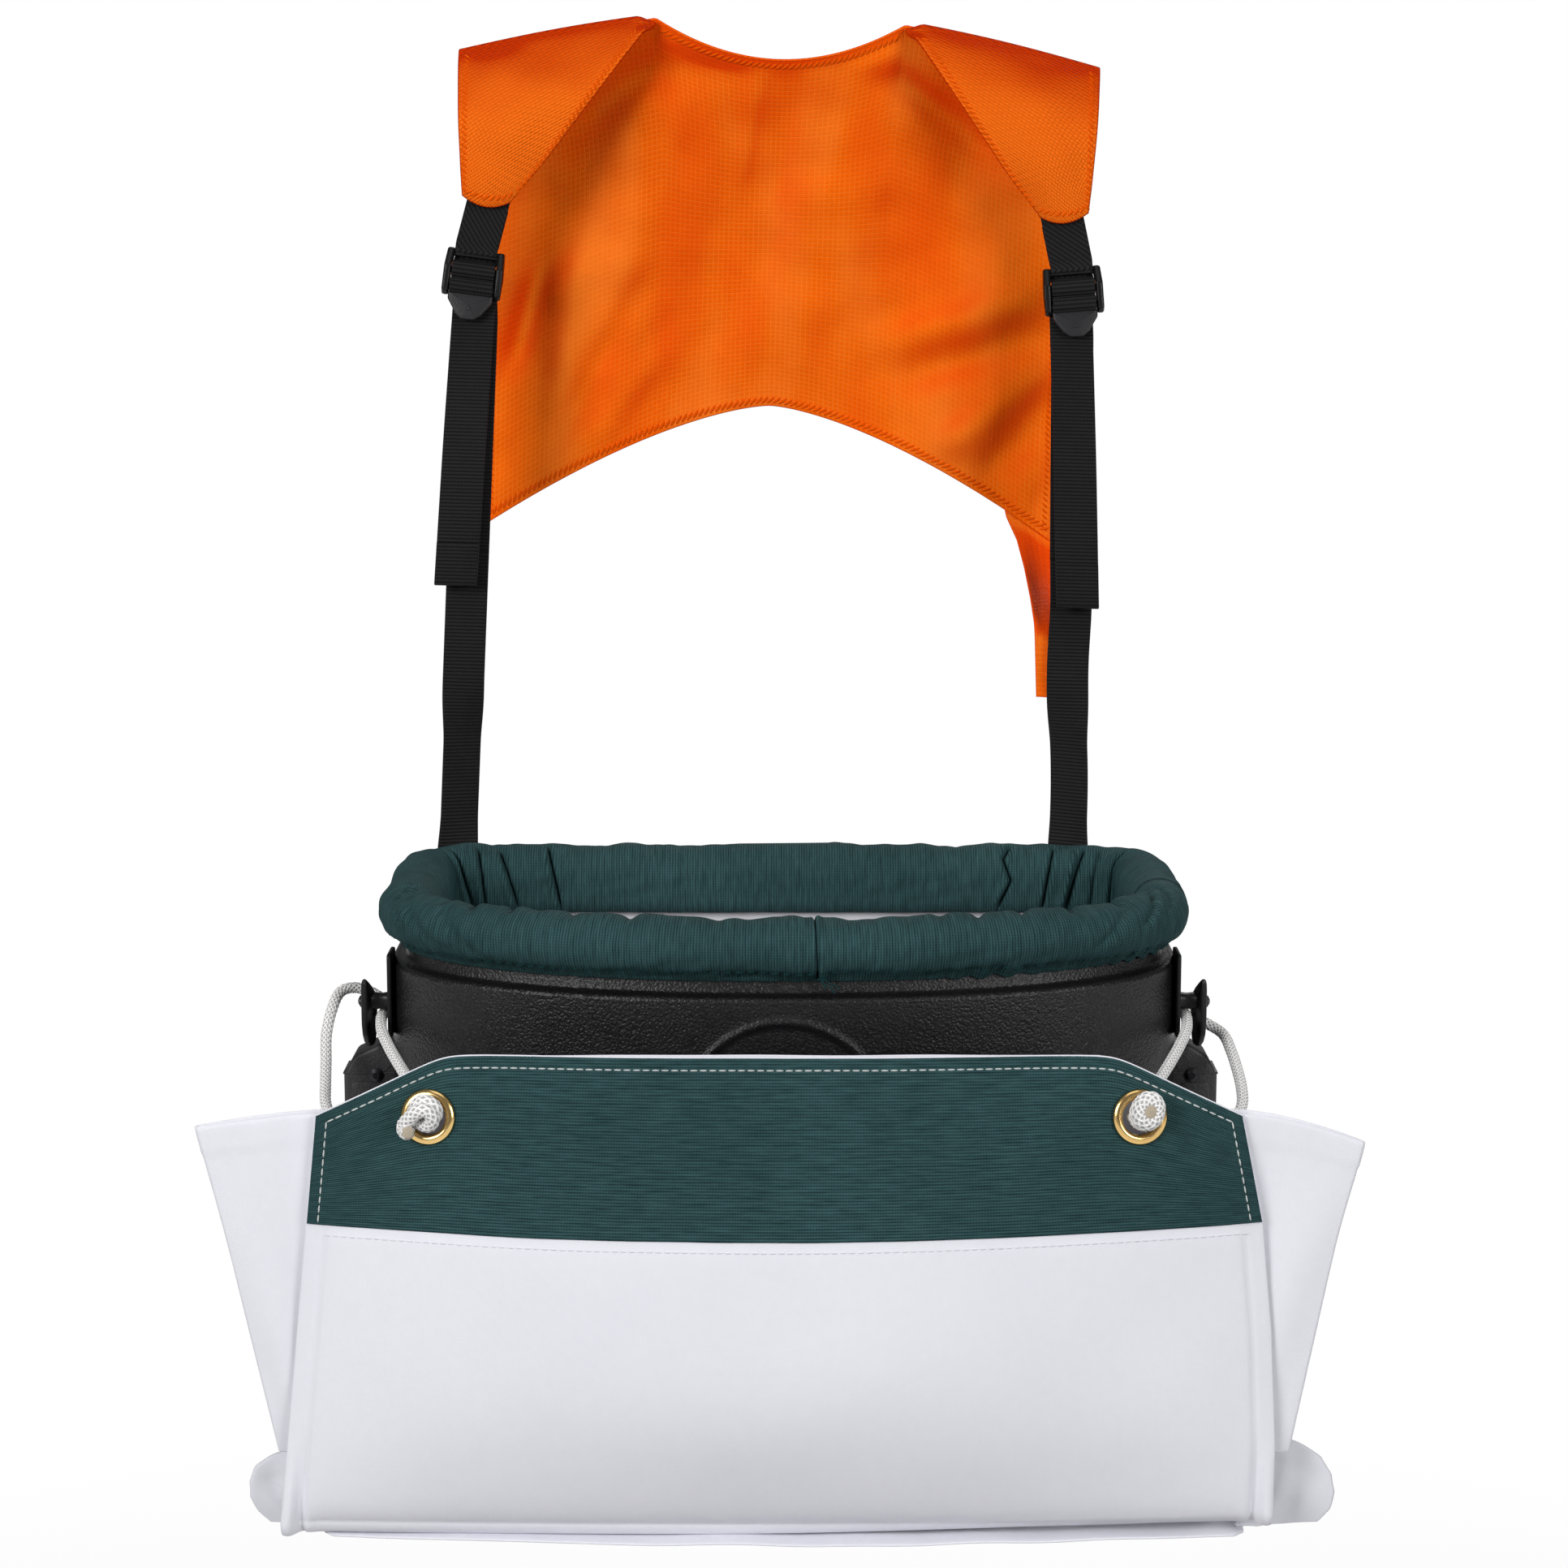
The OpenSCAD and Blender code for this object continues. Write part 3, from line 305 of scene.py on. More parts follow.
def fabric(name, colour, deep, pitch, rib=0.0, relief=0.0002, rough=0.8, sheen=0.15, uneven=0.5, gaps=0.35, slub=0.0,
           bias=0.0, shaded=None):
    """Woven cloth whose threads follow the piece's own cut; bias turns them, slub streaks them.
    Shaded is a painted shade colour, mixed in where the cloth turns aside from the front."""
    material, tree, shader, places = blank_material(name)
    threads = add(tree, "Mapping", Vector=places["UV"], Rotation=(0.0, 0.0, bias)).outputs["Vector"]
    weave = use_group(tree, WEAVE, Place=threads, Pitch=pitch, Rib=rib)
    streak = use_group(tree, SLUB, Place=threads)["Streak"]
    dye = use_group(tree, DYE, Place=places["Object"], Colour=colour, Deep=deep, Amount=uneven)
    shade = sum_up(tree, "ADD", sum_up(tree, "MULTIPLY", weave["Gaps"], gaps),
                   sum_up(tree, "MULTIPLY", streak, slub), True)
    cloth_colour = mix_colour(tree, shade, dye["Colour"], deep)
    if shaded is not None:
        # Painted shade: the shaded colour where the cloth turns aside from the front.
        aside = use_group(tree, ASIDE, Low=0.0, High=0.30)["Aside"]
        cloth_colour = mix_colour(tree, aside, cloth_colour, shaded)
    feed(tree, shader, Base_Color=cloth_colour,
         Roughness=sum_up(tree, "ADD", rough - 0.08, sum_up(tree, "MULTIPLY", dye["Blotch"], 0.14)),
         Sheen_Weight=sheen, Sheen_Roughness=0.45,
         Sheen_Tint=tuple(min(1.0, c * 1.4) for c in colour[:3]) + (1.0,),
         Specular_IOR_Level=0.2, Specular_Tint=colour)
    bump(tree, shader, weave["Height"], 0.9, relief)
    return material


def ripstop(name, colour, deep, light, painted_shade_colour):
    """Thin coated cloth with a raised grid of thicker threads; painted sheen, and painted shade: redder where tilted.
    """
    material, tree, shader, places = blank_material(name)
    weave = use_group(tree, WEAVE, Place=places["UV"], Pitch=0.0009, Rib=0.0)
    dye = use_group(tree, DYE, Place=places["Object"], Colour=colour, Deep=deep, Amount=0.42)
    lines = []
    for way in parts_of(tree, places["UV"]):
        wave = sum_up(tree, "SINE", sum_up(tree, "MULTIPLY", way, math.pi / RIPSTOP_GRID))
        lines.append(ramp(tree, sum_up(tree, "ABSOLUTE", wave), 0.86, 0.98))
    grid = sum_up(tree, "MAXIMUM", *lines, True)
    # Slow noise for the patches below: painted sheen (paler) and painted shade (redder).
    uneven = add(tree, "Mapping", Vector=places["UV"], Rotation=(0.0, 0.0, math.radians(24)), Scale=(17.0, 6.0, 1.0))
    slow = noise(tree, uneven.outputs["Vector"], 1.0, 2.0, 0.5)
    aside = use_group(tree, ASIDE, Low=0.005, High=0.17)["Aside"]
    cloth_colour = dye["Colour"]
    # Colour layers: darker weave gaps, paler grid lines, painted sheen and painted shade patches, then painted shade
    # where the cloth turns aside from the front.
    for where, amount, over, clamp in (
        (weave["Gaps"], 0.14, deep, False),
        (grid, 0.28, light, False),
        (ramp(tree, slow, 0.50, 0.68), 0.35, light, False),
        (ramp(tree, slow, 0.50, 0.34), 0.4, painted_shade_colour, False),
        (aside, 0.8, painted_shade_colour, True),
    ):
        cloth_colour = mix_colour(tree, sum_up(tree, "MULTIPLY", where, amount, clamp), cloth_colour, over)
    feed(tree, shader, Base_Color=cloth_colour,
         Roughness=sum_up(tree, "ADD", 0.36, sum_up(tree, "MULTIPLY", dye["Blotch"], 0.14)),
         Specular_IOR_Level=0.4, Specular_Tint=light)
    height = sum_up(tree, "ADD", sum_up(tree, "MULTIPLY", grid, 0.8), sum_up(tree, "MULTIPLY", weave["Height"], 0.4))
    bump(tree, shader, height, 0.8, 0.00018)
    return material


def plastic(name, colour, pale, scale, rough, relief=0.00025, worn=0.5, tops=0.0, shine=0.45):
    """Moulded plastic, paler where it is worn, with a painted highlight on the tops of its grain."""
    material, tree, shader, places = blank_material(name)
    grain = use_group(tree, GRAIN, Place=places["Object"], Scale=scale)
    dye = use_group(tree, DYE, Place=places["Object"], Colour=colour, Deep=pale, Amount=0.35)
    # Paler where worn, plus a painted highlight on the grain tops.
    wear_and_painted_highlight = sum_up(tree, "ADD", sum_up(tree, "MULTIPLY", grain["Worn"], worn),
                     sum_up(tree, "MULTIPLY", grain["Tops"], tops), True)
    feed(tree, shader, Base_Color=mix_colour(tree, wear_and_painted_highlight, dye["Colour"], pale),
         Roughness=sum_up(tree, "ADD", rough, sum_up(tree, "MULTIPLY", grain["Worn"], 0.15)),
         Specular_IOR_Level=shine)
    bump(tree, shader, grain["Height"], 0.8, relief)
    return material


def braided_yarn(name, colour, deep):
    """Rope braid: two sets of yarns winding both ways, dark where they dip under each other."""
    material, tree, shader, places = blank_material(name)
    across, along = parts_of(tree, places["UV"])
    around = sum_up(tree, "MULTIPLY", across, BRAID_YARNS / (ROPE_R * MM))
    wind = sum_up(tree, "MULTIPLY", along, 2 * math.pi / BRAID_PITCH)
    tops = [sum_up(tree, "COSINE", sum_up(tree, kind, around, wind)) for kind in ("ADD", "SUBTRACT")]
    height = ramp(tree, sum_up(tree, "MAXIMUM", *tops), -0.35, 0.75)
    dye = use_group(tree, DYE, Place=places["Object"], Colour=colour, Deep=deep, Amount=0.15)
    feed(tree, shader, Base_Color=mix_colour(tree, height, deep, dye["Colour"]), Roughness=0.6,
         Specular_IOR_Level=0.25)
    bump(tree, shader, height, 0.7, 0.0003)
    return material


def metal(name, colour, dull, rough):
    """Plain metal, duller in patches and rougher where it is worn."""
    material, tree, shader, places = blank_material(name)
    grain = use_group(tree, GRAIN, Place=places["Object"], Scale=420.0)
    dye = use_group(tree, DYE, Place=places["Object"], Colour=colour, Deep=dull, Amount=0.6)
    feed(tree, shader, Base_Color=dye["Colour"], Metallic=1.0,
         Roughness=sum_up(tree, "ADD", rough, sum_up(tree, "MULTIPLY", grain["Worn"], 0.2)))
    bump(tree, shader, grain["Height"], 0.15, 0.0001)
    return material


ORANGE, ORANGE_DEEP, ORANGE_GRID_AND_SHEEN = srgb(255, 108, 4), srgb(198, 56, 0), srgb(255, 142, 50)
TEAL, TEAL_DEEP = srgb(66, 98, 100), srgb(16, 32, 35)
CANVAS, CANVAS_DEEP = srgb(236, 236, 243), srgb(212, 212, 222)

THREAD = {"relief": 0.0001, "rough": 0.7, "sheen": 0.0}
WEBBING = {"relief": 0.0006, "rough": 0.6, "sheen": 0.05, "uneven": 0.35, "gaps": 0.75}

# The ripstop's pale orange gives its grid lines, painted sheen and specular tint; its last colour is painted shade.
# The shoulder cloth's shaded colour is painted shade.
orange_ripstop = ripstop("orange ripstop", ORANGE, ORANGE_DEEP, ORANGE_GRID_AND_SHEEN, srgb(236, 58, 0))
shoulder_weave = fabric("orange shoulder cloth", srgb(255, 120, 28), srgb(238, 88, 4), pitch=0.0024, rib=0.2,
                        relief=0.0007, rough=0.62, sheen=0.0, uneven=0.25, gaps=0.4, slub=0.1,
                        bias=math.radians(30), shaded=srgb(200, 50, 0))
black_webbing = fabric("black webbing", srgb(46, 45, 46), srgb(14, 14, 15), pitch=0.0021, rib=0.8, **WEBBING)
black_twill = fabric("black webbing twill", srgb(45, 44, 45), srgb(14, 14, 15), pitch=0.0024, rib=0.75,
                     bias=math.radians(45), **WEBBING)
teal_canvas = fabric("teal canvas", TEAL, TEAL_DEEP, pitch=0.0015, rib=0.55, relief=0.0004, rough=0.85, sheen=0.05,
                     uneven=0.3, gaps=0.6, slub=0.4)
white_canvas = fabric("white coated canvas", CANVAS, CANVAS_DEEP, pitch=0.0008, relief=0.00006, rough=0.5, sheen=0.0,
                      uneven=0.25, gaps=0.08)
lining_cloth = fabric("white lining", srgb(236, 236, 240), srgb(210, 211, 219), pitch=0.0007, relief=0.0001,
                      rough=0.7, sheen=0.0, uneven=0.3, gaps=0.12)
orange_thread = fabric("orange overlock thread", srgb(244, 100, 10), srgb(206, 70, 3), pitch=0.0006, rib=0.6,
                       **THREAD)
canvas_thread = fabric("canvas thread", srgb(230, 230, 237), srgb(212, 212, 221), pitch=0.0005, rib=0.7, **THREAD)
white_thread = fabric("white contrast thread", srgb(222, 225, 224), srgb(160, 168, 168), pitch=0.0005, rib=0.7,
                      **THREAD)
teal_thread = fabric("teal thread", srgb(34, 68, 68), srgb(18, 44, 46), pitch=0.0005, rib=0.7, **THREAD)
rope_yarn = braided_yarn("white rope yarn", srgb(252, 251, 250), srgb(176, 175, 175))
cut_yarn = fabric("cut rope end", srgb(214, 203, 184), srgb(168, 150, 124), pitch=0.0006, relief=0.0003, rough=0.8,
                  sheen=0.0, uneven=0.6, gaps=0.5)
# tops sets the painted highlight on the grain tops of these plastics.
bucket_plastic = plastic("pebbled bucket plastic", srgb(10, 10, 11), srgb(44, 43, 45), scale=760.0, rough=0.34,
                         relief=0.0005, worn=0.10, tops=0.30, shine=0.28)
fitting_plastic = plastic("black fitting plastic", srgb(13, 13, 14), srgb(28, 28, 30), scale=1100.0, rough=0.34,
                          relief=0.0001, worn=0.4, shine=0.25)
buckle_plastic = plastic("black buckle plastic", srgb(10, 10, 11), srgb(26, 26, 28), scale=1500.0, rough=0.3,
                         relief=0.00006, worn=0.4, shine=0.22)
tab_plastic = plastic("grey buckle tab", srgb(24, 24, 26), srgb(42, 42, 45), scale=1300.0, rough=0.45,
                      relief=0.0001, worn=0.4, shine=0.3)
lug_plastic = plastic("grey lug plastic", srgb(34, 33, 35), srgb(54, 53, 55), scale=900.0, rough=0.5,
                      relief=0.0002, worn=0.4, tops=0.15)
brass = metal("brass", srgb(232, 198, 134), srgb(196, 150, 78), 0.2)
steel = metal("rivet steel", srgb(176, 177, 180), srgb(120, 121, 125), 0.3)
dark_steel = metal("blackened rivet steel", srgb(60, 60, 63), srgb(34, 34, 36), 0.42)


# Mesh building

def put(name, verts, faces, material, body=None, replaces=(), uv=None):
    """One piece of the model, on a body, in place of CAD nodes."""
    mesh = bpy.data.meshes.new(name)
    mesh.from_pydata(np.asarray(verts, float).reshape(-1, 3).tolist(), [], faces)
    mesh.polygons.foreach_set("use_smooth", [True] * len(mesh.polygons))
    if uv is not None:
        layer = mesh.uv_layers.new(name="cut")
        index = np.empty(len(mesh.loops), int)
        mesh.loops.foreach_get("vertex_index", index)
        layer.data.foreach_set("uv", np.asarray(uv, float)[index].ravel())
    mesh.materials.append(material)
    mesh.update()
    obj = bpy.data.objects.new(name, mesh)
    bpy.context.scene.collection.objects.link(obj)
    if body:
        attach(obj, body)
    if replaces:
        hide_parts(*replaces)
    return obj


def grid_faces(rows, cols, wrap_rows=False, wrap_cols=False, index=None, flip=False):
    """Four-sided faces over a grid of points."""
    if index is None:
        index = np.arange(rows * cols).reshape(rows, cols)
    if wrap_rows:
        index = np.vstack([index, index[:1]])
    if wrap_cols:
        index = np.hstack([index, index[:, :1]])
    a, b = index[:-1, :-1], index[:-1, 1:]
    c, d = index[1:, 1:], index[1:, :-1]
    quads = np.stack([a, d, c, b] if flip else [a, b, c, d], -1).reshape(-1, 4)
    return quads.tolist()


def run_lengths(points, axis):
    """Distance run so far along one axis of a grid of points."""
    step = np.linalg.norm(np.diff(points, axis=axis), axis=-1)
    pad = [(0, 0), (0, 0)]
    pad[axis] = (1, 0)
    return np.cumsum(np.pad(step, pad), axis=axis)


def grid_normals(points, wrap_cols=False):
    """Way a grid of points faces at each of them."""
    p = points
    if wrap_cols:
        p = np.concatenate([points[:, -1:], points, points[:, :1]], 1)
    normal = unit(np.cross(np.gradient(p, axis=1), np.gradient(p, axis=0)))
    return normal[:, 1:-1] if wrap_cols else normal


def cloth(middle, thick, wrap_cols=False, cut=None, holes=()):
    """Closed sheet of cloth round a middle surface, with soft rounded edges. Returns verts, faces, uv.
    Holes are (middle, radius) in metres; the cloth is left out inside them."""
    rows, cols = middle.shape[:2]
    down = run_lengths(middle, 0)
    side = run_lengths(middle, 1)
    edge = np.minimum(down, down[-1:] - down)
    if not wrap_cols:
        edge = np.minimum(edge, np.minimum(side, side[:, -1:] - side))
    part = np.clip(edge / (thick / 2), 0, 1)
    half = thick / 2 * np.sqrt(np.clip(1 - (1 - part) ** 2, 0, 1))
    normal = grid_normals(middle, wrap_cols)
    front, back = middle + normal * half[..., None], middle - normal * half[..., None]
    inside = np.ones((rows, cols), bool)
    inside[0] = inside[-1] = False
    if not wrap_cols:
        inside[:, 0] = inside[:, -1] = False
    fore = np.arange(rows * cols).reshape(rows, cols)
    aft = fore.copy()
    aft[inside] = rows * cols + np.arange(inside.sum())
    verts = np.concatenate([front.reshape(-1, 3), back[inside]])
    if cut is None:
        cut = np.stack([np.broadcast_to(np.mean(side, 0), (rows, cols)),
                        -np.broadcast_to(np.mean(down, 1)[:, None], (rows, cols))], -1)
    uv = np.concatenate([cut.reshape(-1, 2), cut[inside]])
    if not holes:
        faces = grid_faces(rows, cols, False, wrap_cols, fore, True)
        return verts, faces + grid_faces(rows, cols, False, wrap_cols, aft, False), uv
    cell = (middle[:-1, :-1] + middle[1:, 1:]) / 2
    kept = np.ones(cell.shape[:2], bool)
    for at, radius in holes:
        kept &= np.hypot(cell[..., 0] - at[0], cell[..., 2] - at[2]) > radius
    faces = []
    for i, j in np.argwhere(kept):
        faces.append([fore[i, j], fore[i + 1, j], fore[i + 1, j + 1], fore[i, j + 1]])
        faces.append([aft[i, j], aft[i, j + 1], aft[i + 1, j + 1], aft[i + 1, j]])
    for i, j in np.argwhere(~kept):
        for (di, dj), a, b in (((-1, 0), (i, j), (i, j + 1)), ((0, 1), (i, j + 1), (i + 1, j + 1)),
                               ((1, 0), (i + 1, j + 1), (i + 1, j)), ((0, -1), (i + 1, j), (i, j))):
            if kept[i + di, j + dj]:
                faces.append([fore[a], fore[b], aft[b], aft[a]])
    return verts, [[int(v) for v in face] for face in faces], uv


def edged(count, length, thick):
    """Shares from 0 to 1 with close steps at both ends, for a rounded edge."""
    near = np.array([0.0, 0.12, 0.45, 1.0]) * thick / 2 / length
    inner = np.linspace(near[-1], 1 - near[-1], count)[1:-1]
    return np.concatenate([near, inner, 1 - near[::-1]])


def curve_through(points, step):
    """Smooth line through points, in even steps."""
    p = np.asarray(points, float)
    ends = np.vstack([2 * p[0] - p[1], p, 2 * p[-1] - p[-2]])
    out = []
    for i in range(len(p) - 1):
        a, b, c, d = ends[i:i + 4]
        t = np.linspace(0, 1, 24, endpoint=False)[:, None]
        out.append(0.5 * (2 * b + (c - a) * t + (2 * a - 5 * b + 4 * c - d) * t ** 2
                          + (3 * b - a - 3 * c + d) * t ** 3))
    dense = np.vstack(out + [p[-1:]])
    length = distances(dense)
    count = max(2, int(round(length[-1] / step)) + 1)
    even = np.linspace(0, length[-1], count)
    return np.stack([np.interp(even, length, dense[:, k]) for k in range(3)], -1), even


def line_frames(line, first=(0, 0, 1)):
    """Directions along a line, and two across it that don't twist."""
    along = unit(np.gradient(line, axis=0))
    across = np.zeros_like(along)
    last = np.asarray(first, float)
    for i, direction in enumerate(along):
        last = last - direction * last.dot(direction)
        last = last / max(np.linalg.norm(last), 1e-9)
        across[i] = last
    return along, across, np.cross(along, across)


def capped(rings):
    """Closed skin over a run of rings."""
    rows, cols = rings.shape[:2]
    verts = np.concatenate([rings.reshape(-1, 3), rings[:1].mean(1), rings[-1:].mean(1)])
    faces = grid_faces(rows, cols, False, True)
    first, last = rows * cols, rows * cols + 1
    faces += [[first, (j + 1) % cols, j] for j in range(cols)]
    base = (rows - 1) * cols
    faces += [[last, base + j, base + (j + 1) % cols] for j in range(cols)]
    return verts, faces


def joined(parts):
    """Several meshes as one."""
    verts, faces, at = [], [], 0
    for v, f in parts:
        verts.append(np.asarray(v, float).reshape(-1, 3))
        faces += [[i + at for i in face] for face in f]
        at += len(verts[-1])
    return np.concatenate(verts), faces


def put_joined(name, parts, material, body, replaces=()):
    """Several meshes as one piece."""
    verts, faces = joined(parts)
    return put(name, verts, faces, material, body, replaces)


def sew(name, middle, thick, material, body, slot, replaces=(), **how):
    """A piece of cloth round a middle surface."""
    verts, faces, uv = cloth(middle, thick, **how)
    return put(name, verts, faces, material, body, replaces, uv)


def stitch(at, along, out, length, width, lift):
    """One sewn stitch, a small thread arch pulled into the cloth at both ends."""
    side = np.cross(out, along)
    t = np.linspace(-1, 1, 7)
    turn = full_turn(6)
    full = np.sqrt(np.clip(1 - t ** 2, 0.03, 1))
    ring = (at + along * (t[:, None, None] * length / 2)
            + side * (full[:, None, None] * np.cos(turn)[None, :, None] * width / 2)
            + out * (full[:, None, None] * (np.sin(turn)[None, :, None] * width / 2 + lift)))
    return capped(ring)


def stitch_row(line, out, pitch, length, width, lift, slant=0.0):
    """Stitches along a line on a cloth's face; slant turns each one."""
    steps = distances(line)
    parts = []
    for d in np.arange(pitch / 2, steps[-1], pitch):
        at = np.array([np.interp(d, steps, line[:, k]) for k in range(3)])
        ahead = unit(np.array([np.interp(d + 1e-3, steps, line[:, k]) - np.interp(d - 1e-3, steps, line[:, k])
                               for k in range(3)]))
        face = unit(np.array([np.interp(d, steps, out[:, k]) for k in range(3)]))
        ahead = unit(ahead - face * ahead.dot(face))
        side = np.cross(face, ahead)
        parts.append(stitch(at, unit(ahead * math.cos(slant) + side * math.sin(slant)), face, length, width, lift))
    return joined(parts)


def puffed_plate(outline, thick, edge, place):
    """Flat moulded plate with rounded edges; outline is in millimetres, place turns (u, v, w) into the frame."""
    outline = np.asarray(outline, float)
    ahead = np.roll(outline, -1, 0) - np.roll(outline, 1, 0)
    inward = unit(np.stack([-ahead[:, 1], ahead[:, 0]], -1))
    area = np.sum(outline[:, 0] * np.roll(outline[:, 1], -1) - outline[:, 1] * np.roll(outline[:, 0], -1))
    if area < 0:
        inward = -inward
    turns = np.radians([90, 60, 30, 0])
    layers = [(edge * (1 - math.cos(a)), -thick / 2 + edge * (1 - math.sin(a))) for a in turns]
    layers += [(i, -w) for i, w in reversed(layers)]
    rings = np.stack([np.concatenate([outline + inward * i, np.full((len(outline), 1), w)], 1) for i, w in layers])
    return capped(place(rings))


def rounded_outline(corners, radius, steps=6):
    """Corners of a convex outline, rounded; radius is one number or one for each corner."""
    corners = np.asarray(corners, float)
    radius = np.broadcast_to(radius, len(corners))
    out = []
    for i, (corner, r) in enumerate(zip(corners, radius)):
        before, after = unit(corners[i - 1] - corner), unit(corners[(i + 1) % len(corners)] - corner)
        half = math.acos(np.clip(before.dot(after), -1, 1)) / 2
        reach = r / math.tan(half)
        a, b = corner + before * reach, corner + after * reach
        for t in np.linspace(0, 1, steps):
            out.append((1 - t) ** 2 * a + 2 * t * (1 - t) * corner + t ** 2 * b)
    return np.array(out)


# Plan of the bucket

def plan(grow, angle, back=7.0):
    """Outline of the bucket, rounder in front than at its back corners."""
    power = np.where(np.sin(angle) < 0, 2.2, back)
    c, s = np.cos(angle), np.sin(angle)
    return np.stack([(BUCKET_HALF_W + grow) * np.sign(c) * np.abs(c) ** (2 / power),
                     (BUCKET_HALF_D + grow) * np.sign(s) * np.abs(s) ** (2 / power)], -1)


def even_plan(grow, count, dense=None, back=7.0):
    """Places at even steps round the bucket, from the right side over the back, closer where dense is high."""
    angle = np.linspace(0, 2 * math.pi, 20001)
    p = plan(grow, angle, back)
    length = distances(p)
    if dense is not None:
        weight = dense(p)
        length = np.concatenate([[0], np.cumsum(np.diff(length) * (weight[1:] + weight[:-1]) / 2)])
    return np.interp(np.linspace(0, length[-1], count, endpoint=False), length, angle)


# Flap geometry

FOLD_Z, FOLD_R, FLAP_H = -303.0, 8.25, 257.0
BELLY, BELLY_ARC, FLAP_TAPER = 34, math.radians(150), 20
BEVEL, BEVEL_FALL = 178.0 / 244.0, 35.0
GUSSET_TOP = 1 - BEVEL_FALL / FLAP_H
TRIM_LOW = 1 - 93 / FLAP_H


def flap_width(t):
    """Half width."""
    return 264 - FLAP_TAPER * t


def flap_edge_y(t):
    """How far forward the side edges are."""
    return -158.25 + 20 * t


def flap_top(share):
    """Top edge: level, then falling to the sides over a rounded corner."""
    past = (np.abs(share) - BEVEL) / (1 - BEVEL)
    return 1 - BEVEL_FALL / FLAP_H * np.minimum(1.0, (np.sqrt(past ** 2 + 0.02) + past) / 2 - 0.003)


def flap_belly(share, t):
    """Forward bulge; it bellies out below as well, where the fold sags forward."""
    return (1 - share ** 2) * (BELLY * np.sin(BELLY_ARC * t) + 13 * np.exp(-((t - 0.24) / 0.24) ** 2))


def flap_point(share, t, lift=0.0):
    """The flap; share runs across it from -1 to 1, t from the fold to its top."""
    sway = 5 * (1 - t) + 1.0
    rise = 6.0 * smooth((share + 0.2) / 1.2) * np.clip(1 - t, 0, 1) ** 2
    spread = smooth((share - 0.3) / 0.7) * np.interp(t, [0, 0.15, 0.4, 0.64, 0.75, 0.86, 1],
                                                     [4.0, 7.0, 8.0, 6.0, 2.2, -1.8, -3.5])
    return np.stack([share * flap_width(t) - sway + spread, flap_edge_y(t) - flap_belly(share, t) - lift,
                     FOLD_Z + FLAP_H * t + rise + 0 * share], -1)


EYELET_X = 187.0
EYELET_T = 1 - 33 / FLAP_H
EYELET_SHARE = EYELET_X / flap_width(EYELET_T)
EYELET_FACE = flap_edge_y(EYELET_T) - (1 - EYELET_SHARE ** 2) * BELLY * math.sin(BELLY_ARC * EYELET_T)
EYELET_TURN = math.atan(2 * EYELET_SHARE * BELLY * math.sin(BELLY_ARC * EYELET_T) / flap_width(EYELET_T))
EYELET_TIP = math.atan((20 - (1 - EYELET_SHARE ** 2) * BELLY * BELLY_ARC * math.cos(BELLY_ARC * EYELET_T)) / FLAP_H)


def at_eyelet(side, points):
    """Points in an eyelet's own frame (right, up, out) to the bag frame, in millimetres."""
    p = np.asarray(points, float)
    c, s = math.cos(EYELET_TIP), math.sin(EYELET_TIP)
    flat = np.stack([p[..., 0], s * p[..., 1] - c * p[..., 2], c * p[..., 1] + s * p[..., 2]], -1)
    turn = side * EYELET_TURN
    c, s = math.cos(turn), math.sin(turn)
    return np.stack([side * EYELET_X + flat[..., 0] * c - flat[..., 1] * s,
                     EYELET_FACE + flat[..., 0] * s + flat[..., 1] * c,
                     FOLD_Z + FLAP_H * EYELET_T + flat[..., 2]], -1)


def eyelet_holes(out):
    """Middles and radius of the holes that the eyelets need in a cloth, that far out from the flap."""
    return [(bag(at_eyelet(side, [0, 0, out])), 0.0102) for side in (LEFT, RIGHT)]


# Ropes, from the eyelet to the cleat and back, with a stopper knot in front

STRAND = 3.4
KNOT_OUT = 2.05 + 0.3 + 1.6 + 7.7
CLEAT_WALL = BUCKET_HALF_W * (1 - (20 / BUCKET_HALF_D) ** 2.2) ** (1 / 2.2)
CLEAT_FACE = CLEAT_WALL + 2.4
TONGUE_X = CLEAT_FACE + 9.6
ROPE_X = CLEAT_FACE + 4.0
ROPE_Z = -56.4


